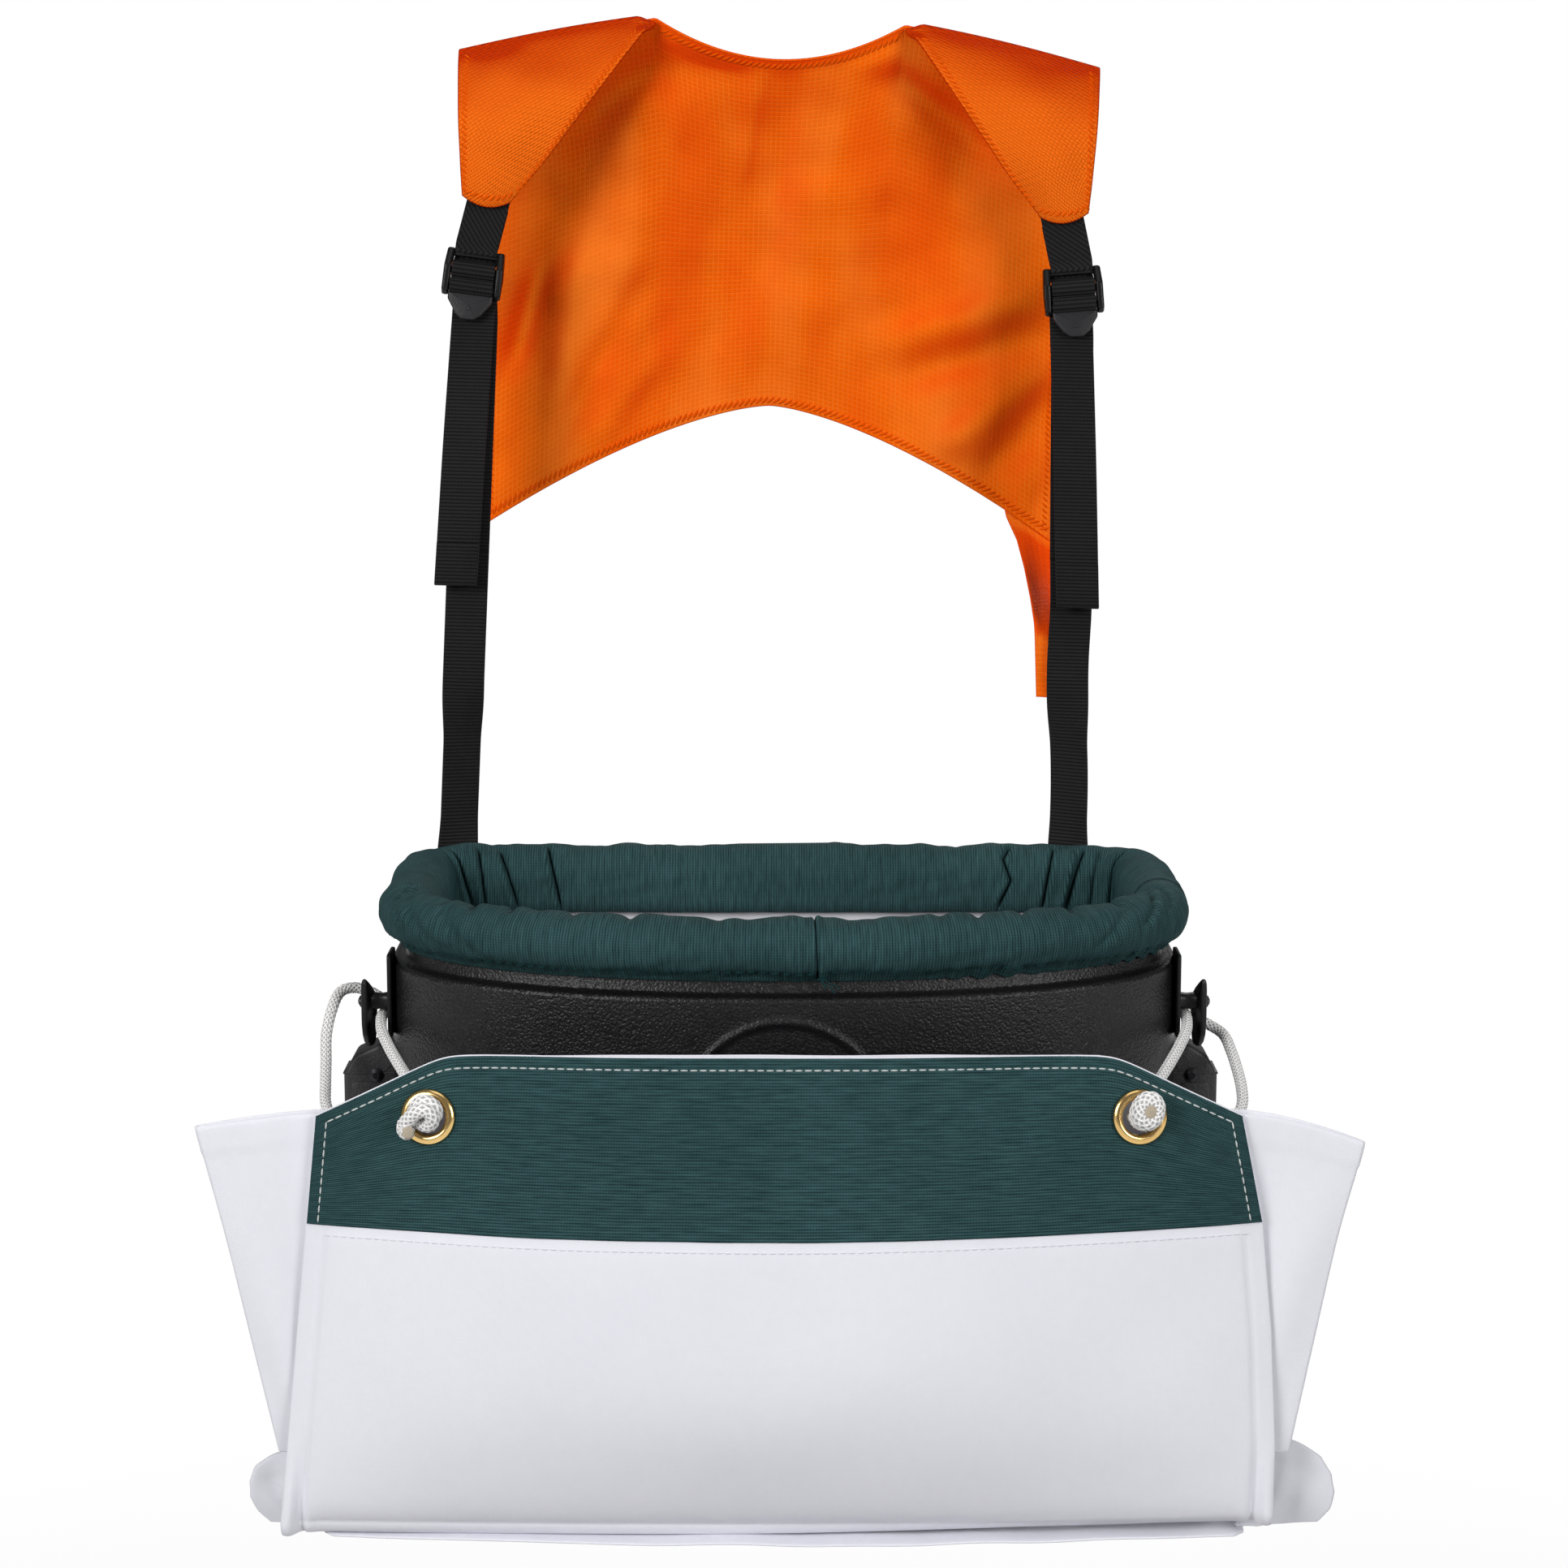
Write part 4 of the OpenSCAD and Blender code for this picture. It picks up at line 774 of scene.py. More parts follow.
def rope_route(side):
    """Up from the knot, under the cleat's neck, round behind its tongue and back outside it."""
    def slack(bow, run, sag):
        return [side * (BUCKET_HALF_W + 31 * bow), -20 - 130 * run, ROPE_Z - 41 * sag]

    def tight(share):
        a = np.array([side * ROPE_X, -26, ROPE_Z])
        b = np.array([side * (EYELET_X + 5), -130, FOLD_Z + FLAP_H * EYELET_T + 1.3])
        return lerp(a, b, share) + [side * 4 * math.sin(math.pi * share ** 0.6), 0, 0]

    route = np.array([
        at_eyelet(side, [-side * STRAND, 0, KNOT_OUT - 9.35]), at_eyelet(side, [-side * (STRAND - 0.5), 0, -2]),
        at_eyelet(side, [-side * (STRAND - 3.3), 0, -8]), tight(1.03), tight(0.72), tight(0.55),
        tight(0.35), tight(0.16), [side * (ROPE_X + 0.2), -25, ROPE_Z - 0.3], [side * (ROPE_X - 0.2), -14, ROPE_Z],
        slack(0.19, -0.135, 0.06), slack(0.379, -0.18, 0.159), slack(0.648, -0.178, 0.266), slack(0.9, -0.118, 0.365),
        slack(0.97, 0.026, 0.481), slack(1, 0.17, 0.61), slack(1, 0.32, 0.73), slack(0.94, 0.47, 0.85),
        slack(0.76, 0.59, 0.94), slack(0.44, 0.69, 0.985), slack(0.09, 0.759, 0.966), slack(-0.335, 0.819, 0.851),
        at_eyelet(side, [side * (STRAND + 7.7), 0, -9.6]), at_eyelet(side, [side * (STRAND + 1.6), 0, -1.9]),
        at_eyelet(side, [side * STRAND, 0, KNOT_OUT - 9.35])])
    if side < 0:
        # The left loop stands up in an arch behind its cleat
        arch = np.array([(3.5, -4.3, -55.4), (7.2, 3.7, -52.7), (14.1, 7.0, -49.3), (23.0, 5.1, -46.4),
                         (30.3, -1.8, -47.6), (33.6, -13.3, -55.0), (35.2, -26.3, -66.0), (33.5, -43.0, -77.4),
                         (31.5, -62.0, -85.9)])
        route = np.concatenate([route[:10], (arch + [CLEAT_FACE, 0, 0]) * [side, 1, 1], route[17:]])
    return route


def braid_relief(turn, along, strands, pitch):
    """Height, 0 to 1, of two sets of yarns that pass over and under each other."""
    wind = 2 * math.pi / pitch
    one, two = 0.5 + 0.5 * np.cos(strands * turn + wind * along), 0.5 + 0.5 * np.cos(strands * turn - wind * along)
    over = np.clip(1.6 * np.cos(wind * along), -1, 1)
    return np.maximum(one * (0.68 + 0.32 * over), two * (0.68 - 0.32 * over))


def braided(line, steps, radius, sides=48):
    """Braided rope skin along a line in metres."""
    _, first, second = line_frames(line)
    turn = full_turn(sides)[None, :]
    d = steps[:, None]
    r = radius * (0.87 + 0.14 * braid_relief(turn, d, BRAID_YARNS, BRAID_PITCH))
    ring = (line[:, None, :] + first[:, None, :] * (r * np.cos(turn))[..., None]
            + second[:, None, :] * (r * np.sin(turn))[..., None])
    verts, faces = capped(ring)
    uv = np.stack([np.broadcast_to(turn * ROPE_R * MM, r.shape), np.broadcast_to(d, r.shape)], -1).reshape(-1, 2)
    return verts, faces, np.concatenate([uv, uv[:1], uv[-1:]])


def cut_end(at, out, radius):
    """Frayed, slightly domed end where a rope was cut."""
    _, first, second = line_frames(np.array([at - out * MM, at, at + out * MM]), (0.3, 0.1, 1))
    turn = full_turn(40)
    rings = []
    for share, lift in ((1.0, -0.9), (1.0, -0.1), (0.94, 0.35), (0.75, 0.6), (0.5, 0.75), (0.25, 0.8)):
        fray = 1 + 0.05 * np.sin(11 * turn + 9 * share) + 0.03 * np.sin(19 * turn)
        rings.append(at + out * (lift * MM) + radius * share * fray[:, None]
                     * (np.cos(turn)[:, None] * first[1] + np.sin(turn)[:, None] * second[1]))
    verts, faces = capped(np.stack(rings))
    uv = np.concatenate([np.stack([np.cos(turn) * r, np.sin(turn) * r], -1)
                         for r in np.linspace(radius, radius / 4, 6)] + [np.zeros((2, 2))])
    return verts, faces, uv


# Left stopper knot, pulled tight: one turn of the rope over itself, its end left low on the outside
LEFT_KNOT = [(0, 0, 0.5), (1.5, 0, 3.6), (4.6, 1.0, 6.6), (5.4, 5.2, 9.0), (1.0, 8.6, 10.0), (-4.2, 6.8, 8.6),
             (-6.2, 1.8, 6.6), (-3.2, -2.8, 6.2), (2.2, -3.6, 8.6), (5.0, 0.4, 12.0), (2.0, 4.4, 14.4),
             (-3.2, 3.4, 14.6), (-7.6, -0.6, 12.8), (-10.8, -4.2, 10.6), (-9.8, -7.2, 11.8), (-7.2, -7.4, 15.2)]

for side, label in SIDES:
    line, steps = curve_through(bag(rope_route(side)), 0.0005)
    verts, faces, uv = braided(line, steps, ROPE_R * MM)
    rope = put(f"{label}_braided_rope", verts, faces, rope_yarn, "flap", [f"{label}_rope"], uv)
    if side < 0:
        kline, ksteps = curve_through(bag(at_eyelet(side, LEFT_KNOT)), 0.0005)
        verts, faces, uv = braided(kline, ksteps, 0.0040)
        end_at, end_out = kline[-1], unit(kline[-1] - kline[-4])
        end_r = 0.0034
    else:
        # Right stopper knot, seen on its end: the braid spreads round the cut end like a mushroom's cap
        profile = np.array([(3.0, 0.4), (4.4, 1.6), (6.8, 2.6), (9.2, 4.6), (10.5, 7.4), (10.7, 10.2), (9.8, 13.0),
                            (8.0, 15.0), (5.8, 15.9), (4.2, 15.7), (3.4, 15.0)])
        fine, steps_up = curve_through(np.concatenate([profile, np.zeros((len(profile), 1))], 1), 0.35)
        turn = full_turn(132)[None, :]
        relief = braid_relief(turn, steps_up[:, None], 11, 4.2)
        around = fine[:, :1] * (0.93 + 0.075 * relief)
        tall = np.hypot(np.cos(turn - 1.25), 0.84 * np.sin(turn - 1.25))
        rise = fine[:, 1:2] + 0.5 * (relief - 0.5) * smooth((fine[:, 1:2] - 9) / 5)
        share = smooth(fine[:, 1:2] / 9)
        ring = np.stack([around * tall * np.cos(turn) + 2.6 * share, around * tall * np.sin(turn) + 3.6 * share,
                         rise + 0 * turn], -1)
        verts, faces = capped(bag(at_eyelet(side, ring)))
        flat = np.stack([np.broadcast_to(turn * 11 / BRAID_YARNS * ROPE_R * MM, relief.shape),
                         np.broadcast_to(steps_up[:, None] * 3.6 / 4.2 * MM, relief.shape)], -1).reshape(-1, 2)
        uv = np.concatenate([flat, flat[:1], flat[-1:]])
        end_at = bag(at_eyelet(side, [2.6, 3.6, 15.0]))
        end_out = unit(at_eyelet(side, [0, 0, 1.0]) - at_eyelet(side, [0, 0, 0]))
        end_r = 0.0036
    knot = put(f"{label}_stopper_knot", verts, faces, rope_yarn, "flap", [f"{label}_knot"], uv)
    verts, faces, uv = cut_end(end_at, end_out, end_r)
    put(f"{label}_cut_rope_end", verts, faces, cut_yarn, "flap", (), uv)


# Orange harness panel

PANEL_TOP, PANEL_WAIST, NECK = 190, 174, 74  # half widths
CREASE_W, CREASE_H, CREASE_DEPTH = 178, 265, 0.58


def crest_z(x):
    """Top edge: the neckline, then the shoulders falling away."""
    x = np.abs(x)
    return np.where(x < NECK, -22 * (1 - (x / NECK) ** 2), -24 * (x - NECK) / (PANEL_TOP - NECK))


def hem_z(share):
    """Lower edge: arched up in the middle."""
    return -lerp(228, 306, np.abs(share) ** 1.5)


# Creases of the hanging panel: start and end (share of width, share of height), depth towards the back, half width
PANEL_CREASES = [
    (-0.10, 0.02, -0.80, 0.24, 9.0, 13), (-0.05, 0.00, -0.14, 0.42, -3.4, 6), (0.06, 0.03, -0.02, 0.45, 3.0, 9),
    (-0.24, 0.08, -0.34, 0.38, 3.0, 10), (0.30, 0.08, 0.80, 0.26, 8.5, 12), (0.20, 0.02, 0.62, 0.16, -4.0, 10),
    (0.97, 0.46, 0.36, 0.78, -7.0, 10), (1.00, 0.53, 0.42, 0.86, 7.0, 10), (1.00, 0.60, 0.55, 0.99, -7.0, 9),
    (1.00, 0.68, 0.72, 1.00, 7.0, 9), (0.97, 0.80, 0.86, 1.02, -4.5, 7), (-0.80, 0.46, -0.92, 0.72, 8.0, 10),
    (-0.66, 0.44, -0.74, 0.80, -5.0, 11), (-0.24, 0.72, -0.66, 0.97, -4.5, 12), (-0.42, 0.58, -0.80, 0.96, 5.0, 11),
    (-0.10, 0.55, 0.25, 0.60, 3.5, 25), (0.30, 0.40, 0.75, 0.36, -3.0, 16),
]


def panel_point(share, t):
    """The hanging panel; share runs across it from -1 to 1, t from its top edge to its hem."""
    width = lerp(PANEL_TOP, PANEL_WAIST, smooth(t / 0.3))
    x = share * width
    z = lerp(crest_z(share * PANEL_TOP), hem_z(share), t)
    y = 1.15 + 24 * np.sin(np.radians(100) * np.clip(t, 0, 1) ** 0.7)
    y = y + 5 * np.sin(math.pi * t) * np.cos(np.radians(540) * share + np.radians(160) * t)
    for s0, t0, s1, t1, depth, half in PANEL_CREASES:
        ax, az, bx, bz = s0 * CREASE_W, t0 * CREASE_H, s1 * CREASE_W, t1 * CREASE_H
        px, pz = share * CREASE_W - ax, t * CREASE_H - az
        run = ((px * (bx - ax) + pz * (bz - az)) / ((bx - ax) ** 2 + (bz - az) ** 2))
        off = np.abs((px * (bz - az) - pz * (bx - ax)) / math.hypot(bx - ax, bz - az))
        fade = np.clip(np.minimum(run + 0.10, 1.10 - run) / 0.40, 0, 1)
        y = y + CREASE_DEPTH * depth * smooth(fade) * np.exp(-(off / half) ** 2) * smooth(t / 0.06)
    y = y + 0.75 * ripple(x, z, 5, 46) * smooth(t / 0.06)
    return np.stack([x, y, z], -1)


def facing_front(surface, share, t, step=1e-3):
    """Way a surface faces at a run of places, turned to the front."""
    across = surface(share + step, t) - surface(share - step, t)
    down = surface(share, t + step) - surface(share, t - step)
    out = unit(np.cross(across, down))
    return out * np.where(out[:, 1:2] > 0, -1, 1)


share = edged(190, 360, 1.4) * 2 - 1
rows = edged(150, 270, 1.4)
panel_mid = harness(panel_point(share[None, :], rows[:, None]))
back_panel = sew("orange_back_panel", panel_mid, 0.0014, orange_ripstop, "harness", "orange_fabric", ["yoke_panel"])

border = []
for run, length, width, slant in (
    ((np.linspace(-0.37, 0.37, 80), np.full(80, 0.018)), 0.0062, 0.0017, 42),
    ((np.linspace(-0.985, 0.985, 200), np.full(200, 0.982)), 0.0062, 0.0017, 42),
    ((np.full(160, LEFT * 0.975), np.linspace(0.30, 0.985, 160)), 0.0046, 0.0012, 45),
    ((np.full(160, RIGHT * 0.975), np.linspace(0.30, 0.985, 160)), 0.0046, 0.0012, 45),
):
    out = facing_front(panel_point, *run)
    border.append(stitch_row(harness(panel_point(*run) + out * 0.7), out, 0.0036, length, width, 0.0001,
                             math.radians(slant)))
put_joined("panel_overlock_stitches", border, orange_thread, "harness")


# Shoulder flaps, folded over the crest to the front

def shoulder_point(side, across, t):
    """Front of a shoulder; below t = 0 it rolls back over the crest."""
    low = np.clip(t, 0, 1)
    inner = np.stack([lerp(NECK, 155.5, low), lerp(0, -113, low)], -1)
    outer = np.stack([lerp(PANEL_TOP, 184.5, low), lerp(-24, -113, low)], -1)
    at = inner + (outer - inner) * across[..., None]
    end_curve = (5 * (2 * across - 1) ** 2 + 3.0 * (across - 0.5)) * smooth((low - 0.7) / 0.3)
    tip = -4.5 * (1 - smooth(across / 0.10)) * (1 - smooth(low / 0.08))
    tip = tip + 1.6 * np.sin(math.pi * across) * (1 - smooth(low / 0.2))
    y = lerp(-2.15, -27.9, 1 - (1 - np.minimum(1, low / 0.8)) ** 3)
    y = y - 3.0 * np.sin(math.pi * across) * np.sin(math.pi * low)
    y = y + 1.2 * ripple(at[..., 0], at[..., 1], 21 + side, 46) * smooth(low / 0.1)
    roll = np.clip(-t / 0.04, 0, 1) * math.pi
    y = y + 2.0 * (1 - np.cos(roll)) * 0.9
    z = at[..., 1] + end_curve + tip + 1.6 * np.sin(roll)
    return np.stack([side * at[..., 0], y, z], -1)


for side, label in SIDES:
    across = edged(52, 70, 2.4)[None, :]
    t = lerp(-0.04, 1, edged(64, 125, 2.4))[:, None]
    middle = harness(shoulder_point(side, across + 0 * t, t + 0 * across))
    flap = sew(f"{label}_shoulder_cloth", middle, 0.0024, shoulder_weave, "harness", "orange_fabric",
               [f"{label}_shoulder_flap"])

    def face(a, b, side=side):
        return shoulder_point(side, a, b)

    hem = []
    for run in (
        (np.full(90, 0.05), np.linspace(0.06, 0.95, 90)),
        (np.full(70, 0.95), np.linspace(0.03, 0.95, 70)),
        (np.linspace(0.10, 0.90, 30), np.full(30, 0.945)),
    ):
        out = facing_front(face, *run)
        hem.append(stitch_row(harness(face(*run) + out * 1.2), out, 0.0036, 0.0048, 0.0012, 0.0001, math.radians(42)))
    put_joined(f"{label}_shoulder_stitches", hem, orange_thread, "harness")


# Webbing

def webbing(line, across, width=WEB_W, thick=WEB_T, columns=14):
    """Flat webbing along a line; across is its width direction, one for all points or one for each. Metres."""
    line = np.asarray(line, float)
    across = np.broadcast_to(unit(across), line.shape)
    shares = edged(columns, width, thick) - 0.5
    middle = line[:, None, :] + across[:, None, :] * (shares * width)[None, :, None]
    return cloth(middle, thick)


def put_webbing(name, runs, replaces):
    """Lengths of strap webbing as one piece."""
    verts, faces = joined([run[:2] for run in runs])
    return put(name, verts, faces, black_webbing, None, replaces,
               np.concatenate([run[2] for run in runs]))


def by_buckle(side, forward=0.0, up=0.0):
    """Place of the middle of a buckle's top bar, or one before and above it in millimetres."""
    return harness(BUCKLE_AT * [side, 1, 1] + [0, -forward, up])


def strap_top(side):
    """Where a main strap comes out of its buckle."""
    return by_buckle(side, 0.0, -12.0)


def strap_foot(side):
    """Middle of the pin that holds a strap's lower end."""
    return bag([side * 187 - 13, 125, -24])


def turned(across, along, angle):
    """Width direction turned round the run of the strap."""
    out = np.cross(along, across)
    return across * np.cos(angle)[:, None] + out * np.sin(angle)[:, None]


X_AXIS = np.array([1.0, 0.0, 0.0])
LEAN_AXIS = np.array([math.cos(HARNESS_LEAN), 0.0, -math.sin(HARNESS_LEAN)])
# The strap's two lengths meet at this one of its 220 places, behind the free end
STRAP_CUT = 96
BUCKLE_SLANT = math.radians(6)
WEB_SLANT = math.radians(14)


def slanted(side, angle):
    """Width direction of webbing that leans towards the neck at its top."""
    return harness([math.cos(angle), 0, side * math.sin(angle)]) - harness([0, 0, 0])


for side, label in SIDES:
    top, foot = strap_top(side), strap_foot(side)
    share = np.linspace(0, 1, 220)
    line = lerp(top, foot + [0, 0, 0.0039], share[:, None])
    shift = lerp(0.0014, 0.0016 if side < 0 else -0.0026, share)
    shift = shift * smooth(share / 0.08) * (1 - smooth((share - 0.94) / 0.05))
    if side > 0:
        sway = np.sin(math.pi * share) * np.sin(5.2 * math.pi * share + 0.6) * smooth((share - 0.4) / 0.2)
        shift = shift + 0.0014 * sway
    line[:, 0] += shift
    along = unit(np.gradient(line, axis=0))
    twist = math.radians(32) * side * smooth((share - 0.63) / 0.12) * (1 - smooth((share - 0.86) / 0.13))
    across = turned(np.broadcast_to(LEAN_AXIS, line.shape).copy(), along, twist)
    line[:, 1] += 0.0125 * np.abs(np.sin(twist))
    over = np.linspace(0, math.pi, 12)[:-1]
    lip = np.stack([0 * over, np.cos(over + math.pi) * 0.0032, np.sin(over) * 0.0032], -1)[::-1]
    lip = by_buckle(side, 3.2, -12.0) + lip
    loop_turn = np.radians(np.linspace(80, -250, 40))
    loop = foot + np.stack([0 * loop_turn, 0.00385 * np.cos(loop_turn), 0.00385 * np.sin(loop_turn)], -1)
    # Two lengths of one strap: the upper one follows the buckle, the lower one bends with the bag round its rim
    cut = STRAP_CUT
    near = lerp(line[cut], line[[cut - 1, cut + 1]], 0.04)
    upper = webbing(np.concatenate([line[:cut], near[:1], line[cut:cut + 1]]),
                    np.concatenate([across[:cut], across[[cut, cut]]]))
    strap = put_webbing(f"{label}_main_strap", [upper, webbing(lip, LEAN_AXIS)], [f"{label}_strap"])
    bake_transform(strap)
    ran = upper[2].max(0) * (upper[2].max(0) > 0.1)
    verts, faces, uv = webbing(np.concatenate([line[cut:cut + 1], near[1:], line[cut + 1:]]),
                               np.concatenate([across[[cut, cut]], across[cut + 1:]]))
    lower = [(verts, faces, uv + ran), webbing(loop, X_AXIS)]
    strap_low = put_webbing(f"{label}_strap_low_end", lower, [f"{label}_strap"])
    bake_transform(strap_low)

    # Free end, laid over the strap and folded back at its tip
    run = np.linalg.norm(foot - top)
    length, aside = (0.180, -0.0044) if side < 0 else (0.1835, 0.0028)
    low = lerp(top, foot, length / run) + [aside, -0.0105, 0]
    high = lerp(top, foot, 0.010 / run) + [0, -0.0019, 0]
    head = by_buckle(side, 5.6, -13.5)
    bowed = [lerp(high, low, s) + [0, -bow, 0] for s, bow in ((0.25, 0.0024), (0.5, 0.0042), (0.75, 0.0026))]
    path, _ = curve_through(np.array([head, lerp(head, high, 0.5) + [0, -0.0002, 0], high, *bowed, low]), 0.0018)
    fold = np.array([path[-1], path[-1] + [0, -0.0009, -0.0008], path[-1] + [0, -0.0018, 0.0002],
                     path[-14] + [0, -0.0019, 0]])
    fold, _ = curve_through(fold, 0.0008)
    tail = put_webbing(f"{label}_free_strap_end",
                       [webbing(path, LEAN_AXIS, 0.0255), webbing(fold, LEAN_AXIS, 0.0253, 0.0014)],
                       [f"{label}_strap_end"])
    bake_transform(tail)

    # Short webbing from the shoulder to the buckle's top bar, doubled and sewn
    turn = np.radians(np.linspace(180, -90, 30))
    bar_x, bar_y, bar_z = BUCKLE_AT
    ring = np.stack([0 * turn + side * bar_x, bar_y + 2.85 * np.cos(turn), bar_z + 2.85 * np.sin(turn)], -1)
    up = np.array([[side * (bar_x - (z - 4) * math.tan(WEB_SLANT)), -25.0, bar_z + z]
                   for z in np.linspace(48, 4.0, 30)])
    back = np.array([[side * (bar_x - (z - 3) * math.tan(WEB_SLANT)), -23.2, bar_z + z]
                     for z in np.linspace(3.0, 30, 20)])
    path = harness(np.concatenate([up, ring, back]))
    path, _ = curve_through(path[::2], 0.0012)
    height = (path[:, 2] - by_buckle(side)[2]) / MM
    lean = lerp(BUCKLE_SLANT, WEB_SLANT, smooth(height / 12))
    verts, faces, uv = webbing(path, np.stack([slanted(side, a) for a in lean]), WEB_W, 0.0015)
    put(f"{label}_shoulder_webbing", verts, faces, black_twill, "harness",
        [f"{label}_upper_webbing"], uv)

    # Tail of the panel: the hem runs on down into it, and it is sewn on behind the strap
    level = lerp(-266.0, -394.0, edged(90, 128, 1.4))[:, None]
    if side > 0:
        inner = np.interp(-level, [266, 278, 284, 288, 292, 297, 305, 320, 336, 350, 375, 400],
                          [158, 150, 146.5, 145.5, 146.5, 149, 153, 157, 160, 162, 163.5, 165])
        outer = np.interp(-level, [266, 330, 372, 400], [179, 178, 173, 171])
    else:
        inner = np.interp(-level, [266, 300, 340, 400], [166, 172, 176, 176])
        outer = inner + 8.5
    across = lerp(inner, outer, edged(18, 18, 1.4)[None, :])
    on_panel = side * np.clip(across / PANEL_WAIST, 0, 0.985)
    hem = hem_z(on_panel)
    crest = crest_z(on_panel * PANEL_TOP)
    y_panel = panel_point(on_panel, np.minimum(1.0, (level - crest) / (hem - crest)))[..., 1] + 1.6
    y_strap = lerp(top[1], foot[1], (level * MM - top[2]) / (foot[2] - top[2])) / MM + 3.6
    y = lerp(y_panel, y_strap, smooth((hem - level) / 60)) + 0.9 * np.cos(across / 2.2) * smooth((hem - level) / 20)
    middle = harness(np.stack([side * across, y, level + 0 * across], -1))
    if side < 0:
        middle = middle[:, ::-1]
    side_tail = sew(f"{label}_panel_tail", middle, 0.0014, orange_ripstop, None, "orange_fabric",
                    [f"{label}_side_tail"])
    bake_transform(side_tail)


# Ladder-lock buckles

def at_buckle(side):
    """Buckle's own millimetres, from the middle of its top bar, to the frame; it hangs a little slanted."""
    c, s = math.cos(side * BUCKLE_SLANT), math.sin(side * BUCKLE_SLANT)

    def place(points):
        p = np.asarray(points, float)
        return harness(np.stack([p[..., 0] * c - p[..., 2] * s, p[..., 1], p[..., 0] * s + p[..., 2] * c], -1)
                       + BUCKLE_AT * [side, 1, 1])
    return place


GRIP_Y, GRIP_LOW_Y, GRIP_Z, GRIP_LOW_Z = -3.2, -6.12, -10.0, -20.0

for side, label in SIDES:
    place = at_buckle(side)
    parts = []
    for s in (LEFT, RIGHT):
        outline = rounded_outline([(2.9, -0.5), (2.2, 2.8), (-3.2, 2.8), (GRIP_LOW_Y - 3.2, -7.0),
                                   (GRIP_LOW_Y - 3.4, -22.0), (GRIP_LOW_Y + 0.4, -25.6), (0.6, -13.0)],
                                  [1.2, 1.4, 1.6, 2.6, 2.4, 1.2, 2.0])

        def rail(r, s=s):
            bow = 14.7 + 0.9 * np.sin(math.pi * np.clip((3 - r[..., 1]) / 36, 0, 1)) ** 1.2
            return place(np.stack([r[..., 2] + s * bow, r[..., 0], r[..., 1]], -1))

        parts.append(puffed_plate(outline, 4.2, 1.3, rail))
    bar = rounded_outline([(-14.2, -2.2), (14.2, -2.2), (14.2, 2.6), (-14.2, 2.6)], 1.6)
    parts.append(puffed_plate(bar, 4.6, 1.3, lambda r: place(np.stack([r[..., 0], -r[..., 2], r[..., 1]], -1))))
    bar = rounded_outline([(-14.6, -2.2), (14.6, -2.2), (14.6, 2.2), (-14.6, 2.2)], 2.0)
    for y, z in ((GRIP_Y, GRIP_Z), (GRIP_LOW_Y, GRIP_LOW_Z)):
        def grip(r, y=y, z=z):
            return place(np.stack([r[..., 0], y - r[..., 2], z + r[..., 1]], -1))

        parts.append(puffed_plate(bar, 4.4, 1.8, grip))
    put_joined(f"{label}_ladder_lock", parts, buckle_plastic, f"{label}_buckle",
               [f"{label}_buckle"])

    lean = math.radians(12)

    def on_tab(points):
        p = np.asarray(points, float)
        y = GRIP_LOW_Y - 1.6 + p[..., 1] * math.sin(lean) - p[..., 2] * math.cos(lean)
        z = GRIP_LOW_Z - 3.0 + p[..., 1] * math.cos(lean) + p[..., 2] * math.sin(lean)
        return place(np.stack([p[..., 0], y, z], -1))

    outline = rounded_outline([(-13.4, 0.8), (-13.2, -4.0), (-7.6, -12.0), (-3.6, -15.2), (3.6, -15.2), (7.6, -12.0),
                               (13.2, -4.0), (13.4, 0.8)],
                              [1.2, 3.6, 4.0, 3.4, 3.4, 4.0, 3.6, 1.2])
    plate = puffed_plate(outline, 3.2, 1.3, on_tab)
    arrow = puffed_plate(rounded_outline([(-2.2, -9.8), (2.2, -9.8), (0, -6.4)], 0.6, 4), 0.9, 0.35,
                         lambda r: on_tab(np.stack([r[..., 0], r[..., 1], r[..., 2] + 1.6], -1)))
    put_joined(f"{label}_thumb_tab", [plate, arrow], tab_plastic, f"{label}_buckle")

    # Webbing woven over the grip bars: it fills the frame as two soft rolls
    over = [(1.2, -2.4), (-0.6, -4.2)]
    for y, z, r in ((GRIP_Y - 0.9, -9.6, 4.5), (GRIP_LOW_Y + 0.1, -19.2, 4.6)):
        for a in np.radians(np.linspace(118, 244, 9)):
            over.append((y + r * math.cos(a), z + r * math.sin(a)))
    over.append((GRIP_LOW_Y + 1.4, -25.0))
    path, _ = curve_through(place(np.array([(0.0, y, z) for y, z in over])), 0.0007)
    verts, faces, uv = webbing(path, slanted(side, BUCKLE_SLANT), 0.0256, 0.0013)
    put(f"{label}_grip_rolls", verts, faces, black_webbing, f"{label}_buckle", (), uv)


# Bucket

def loop_skin(profile, angles, shape=None):
    """Closed ring skin: profile is (grow, z) all round a section, angles are places on the plan."""
    rings = []
    for grow, z in profile:
        p = plan(grow, angles)
        rings.append(np.concatenate([p, np.full((len(angles), 1), z)], 1))
    rings = np.stack(rings)
    if shape is not None:
        rings = shape(rings)
    verts = bag(rings).reshape(-1, 3)
    return verts, grid_faces(rings.shape[0], rings.shape[1], True, True, None, False)


def bucket_angles():
    """Places round the bucket, closer where its front wall has the round panel."""
    def dense(p):
        near = (np.abs(p[:, 0]) < 64) & (p[:, 1] < 0)
        return np.where(near, 3.2, 1.0)
    return even_plan(0, 560, dense)


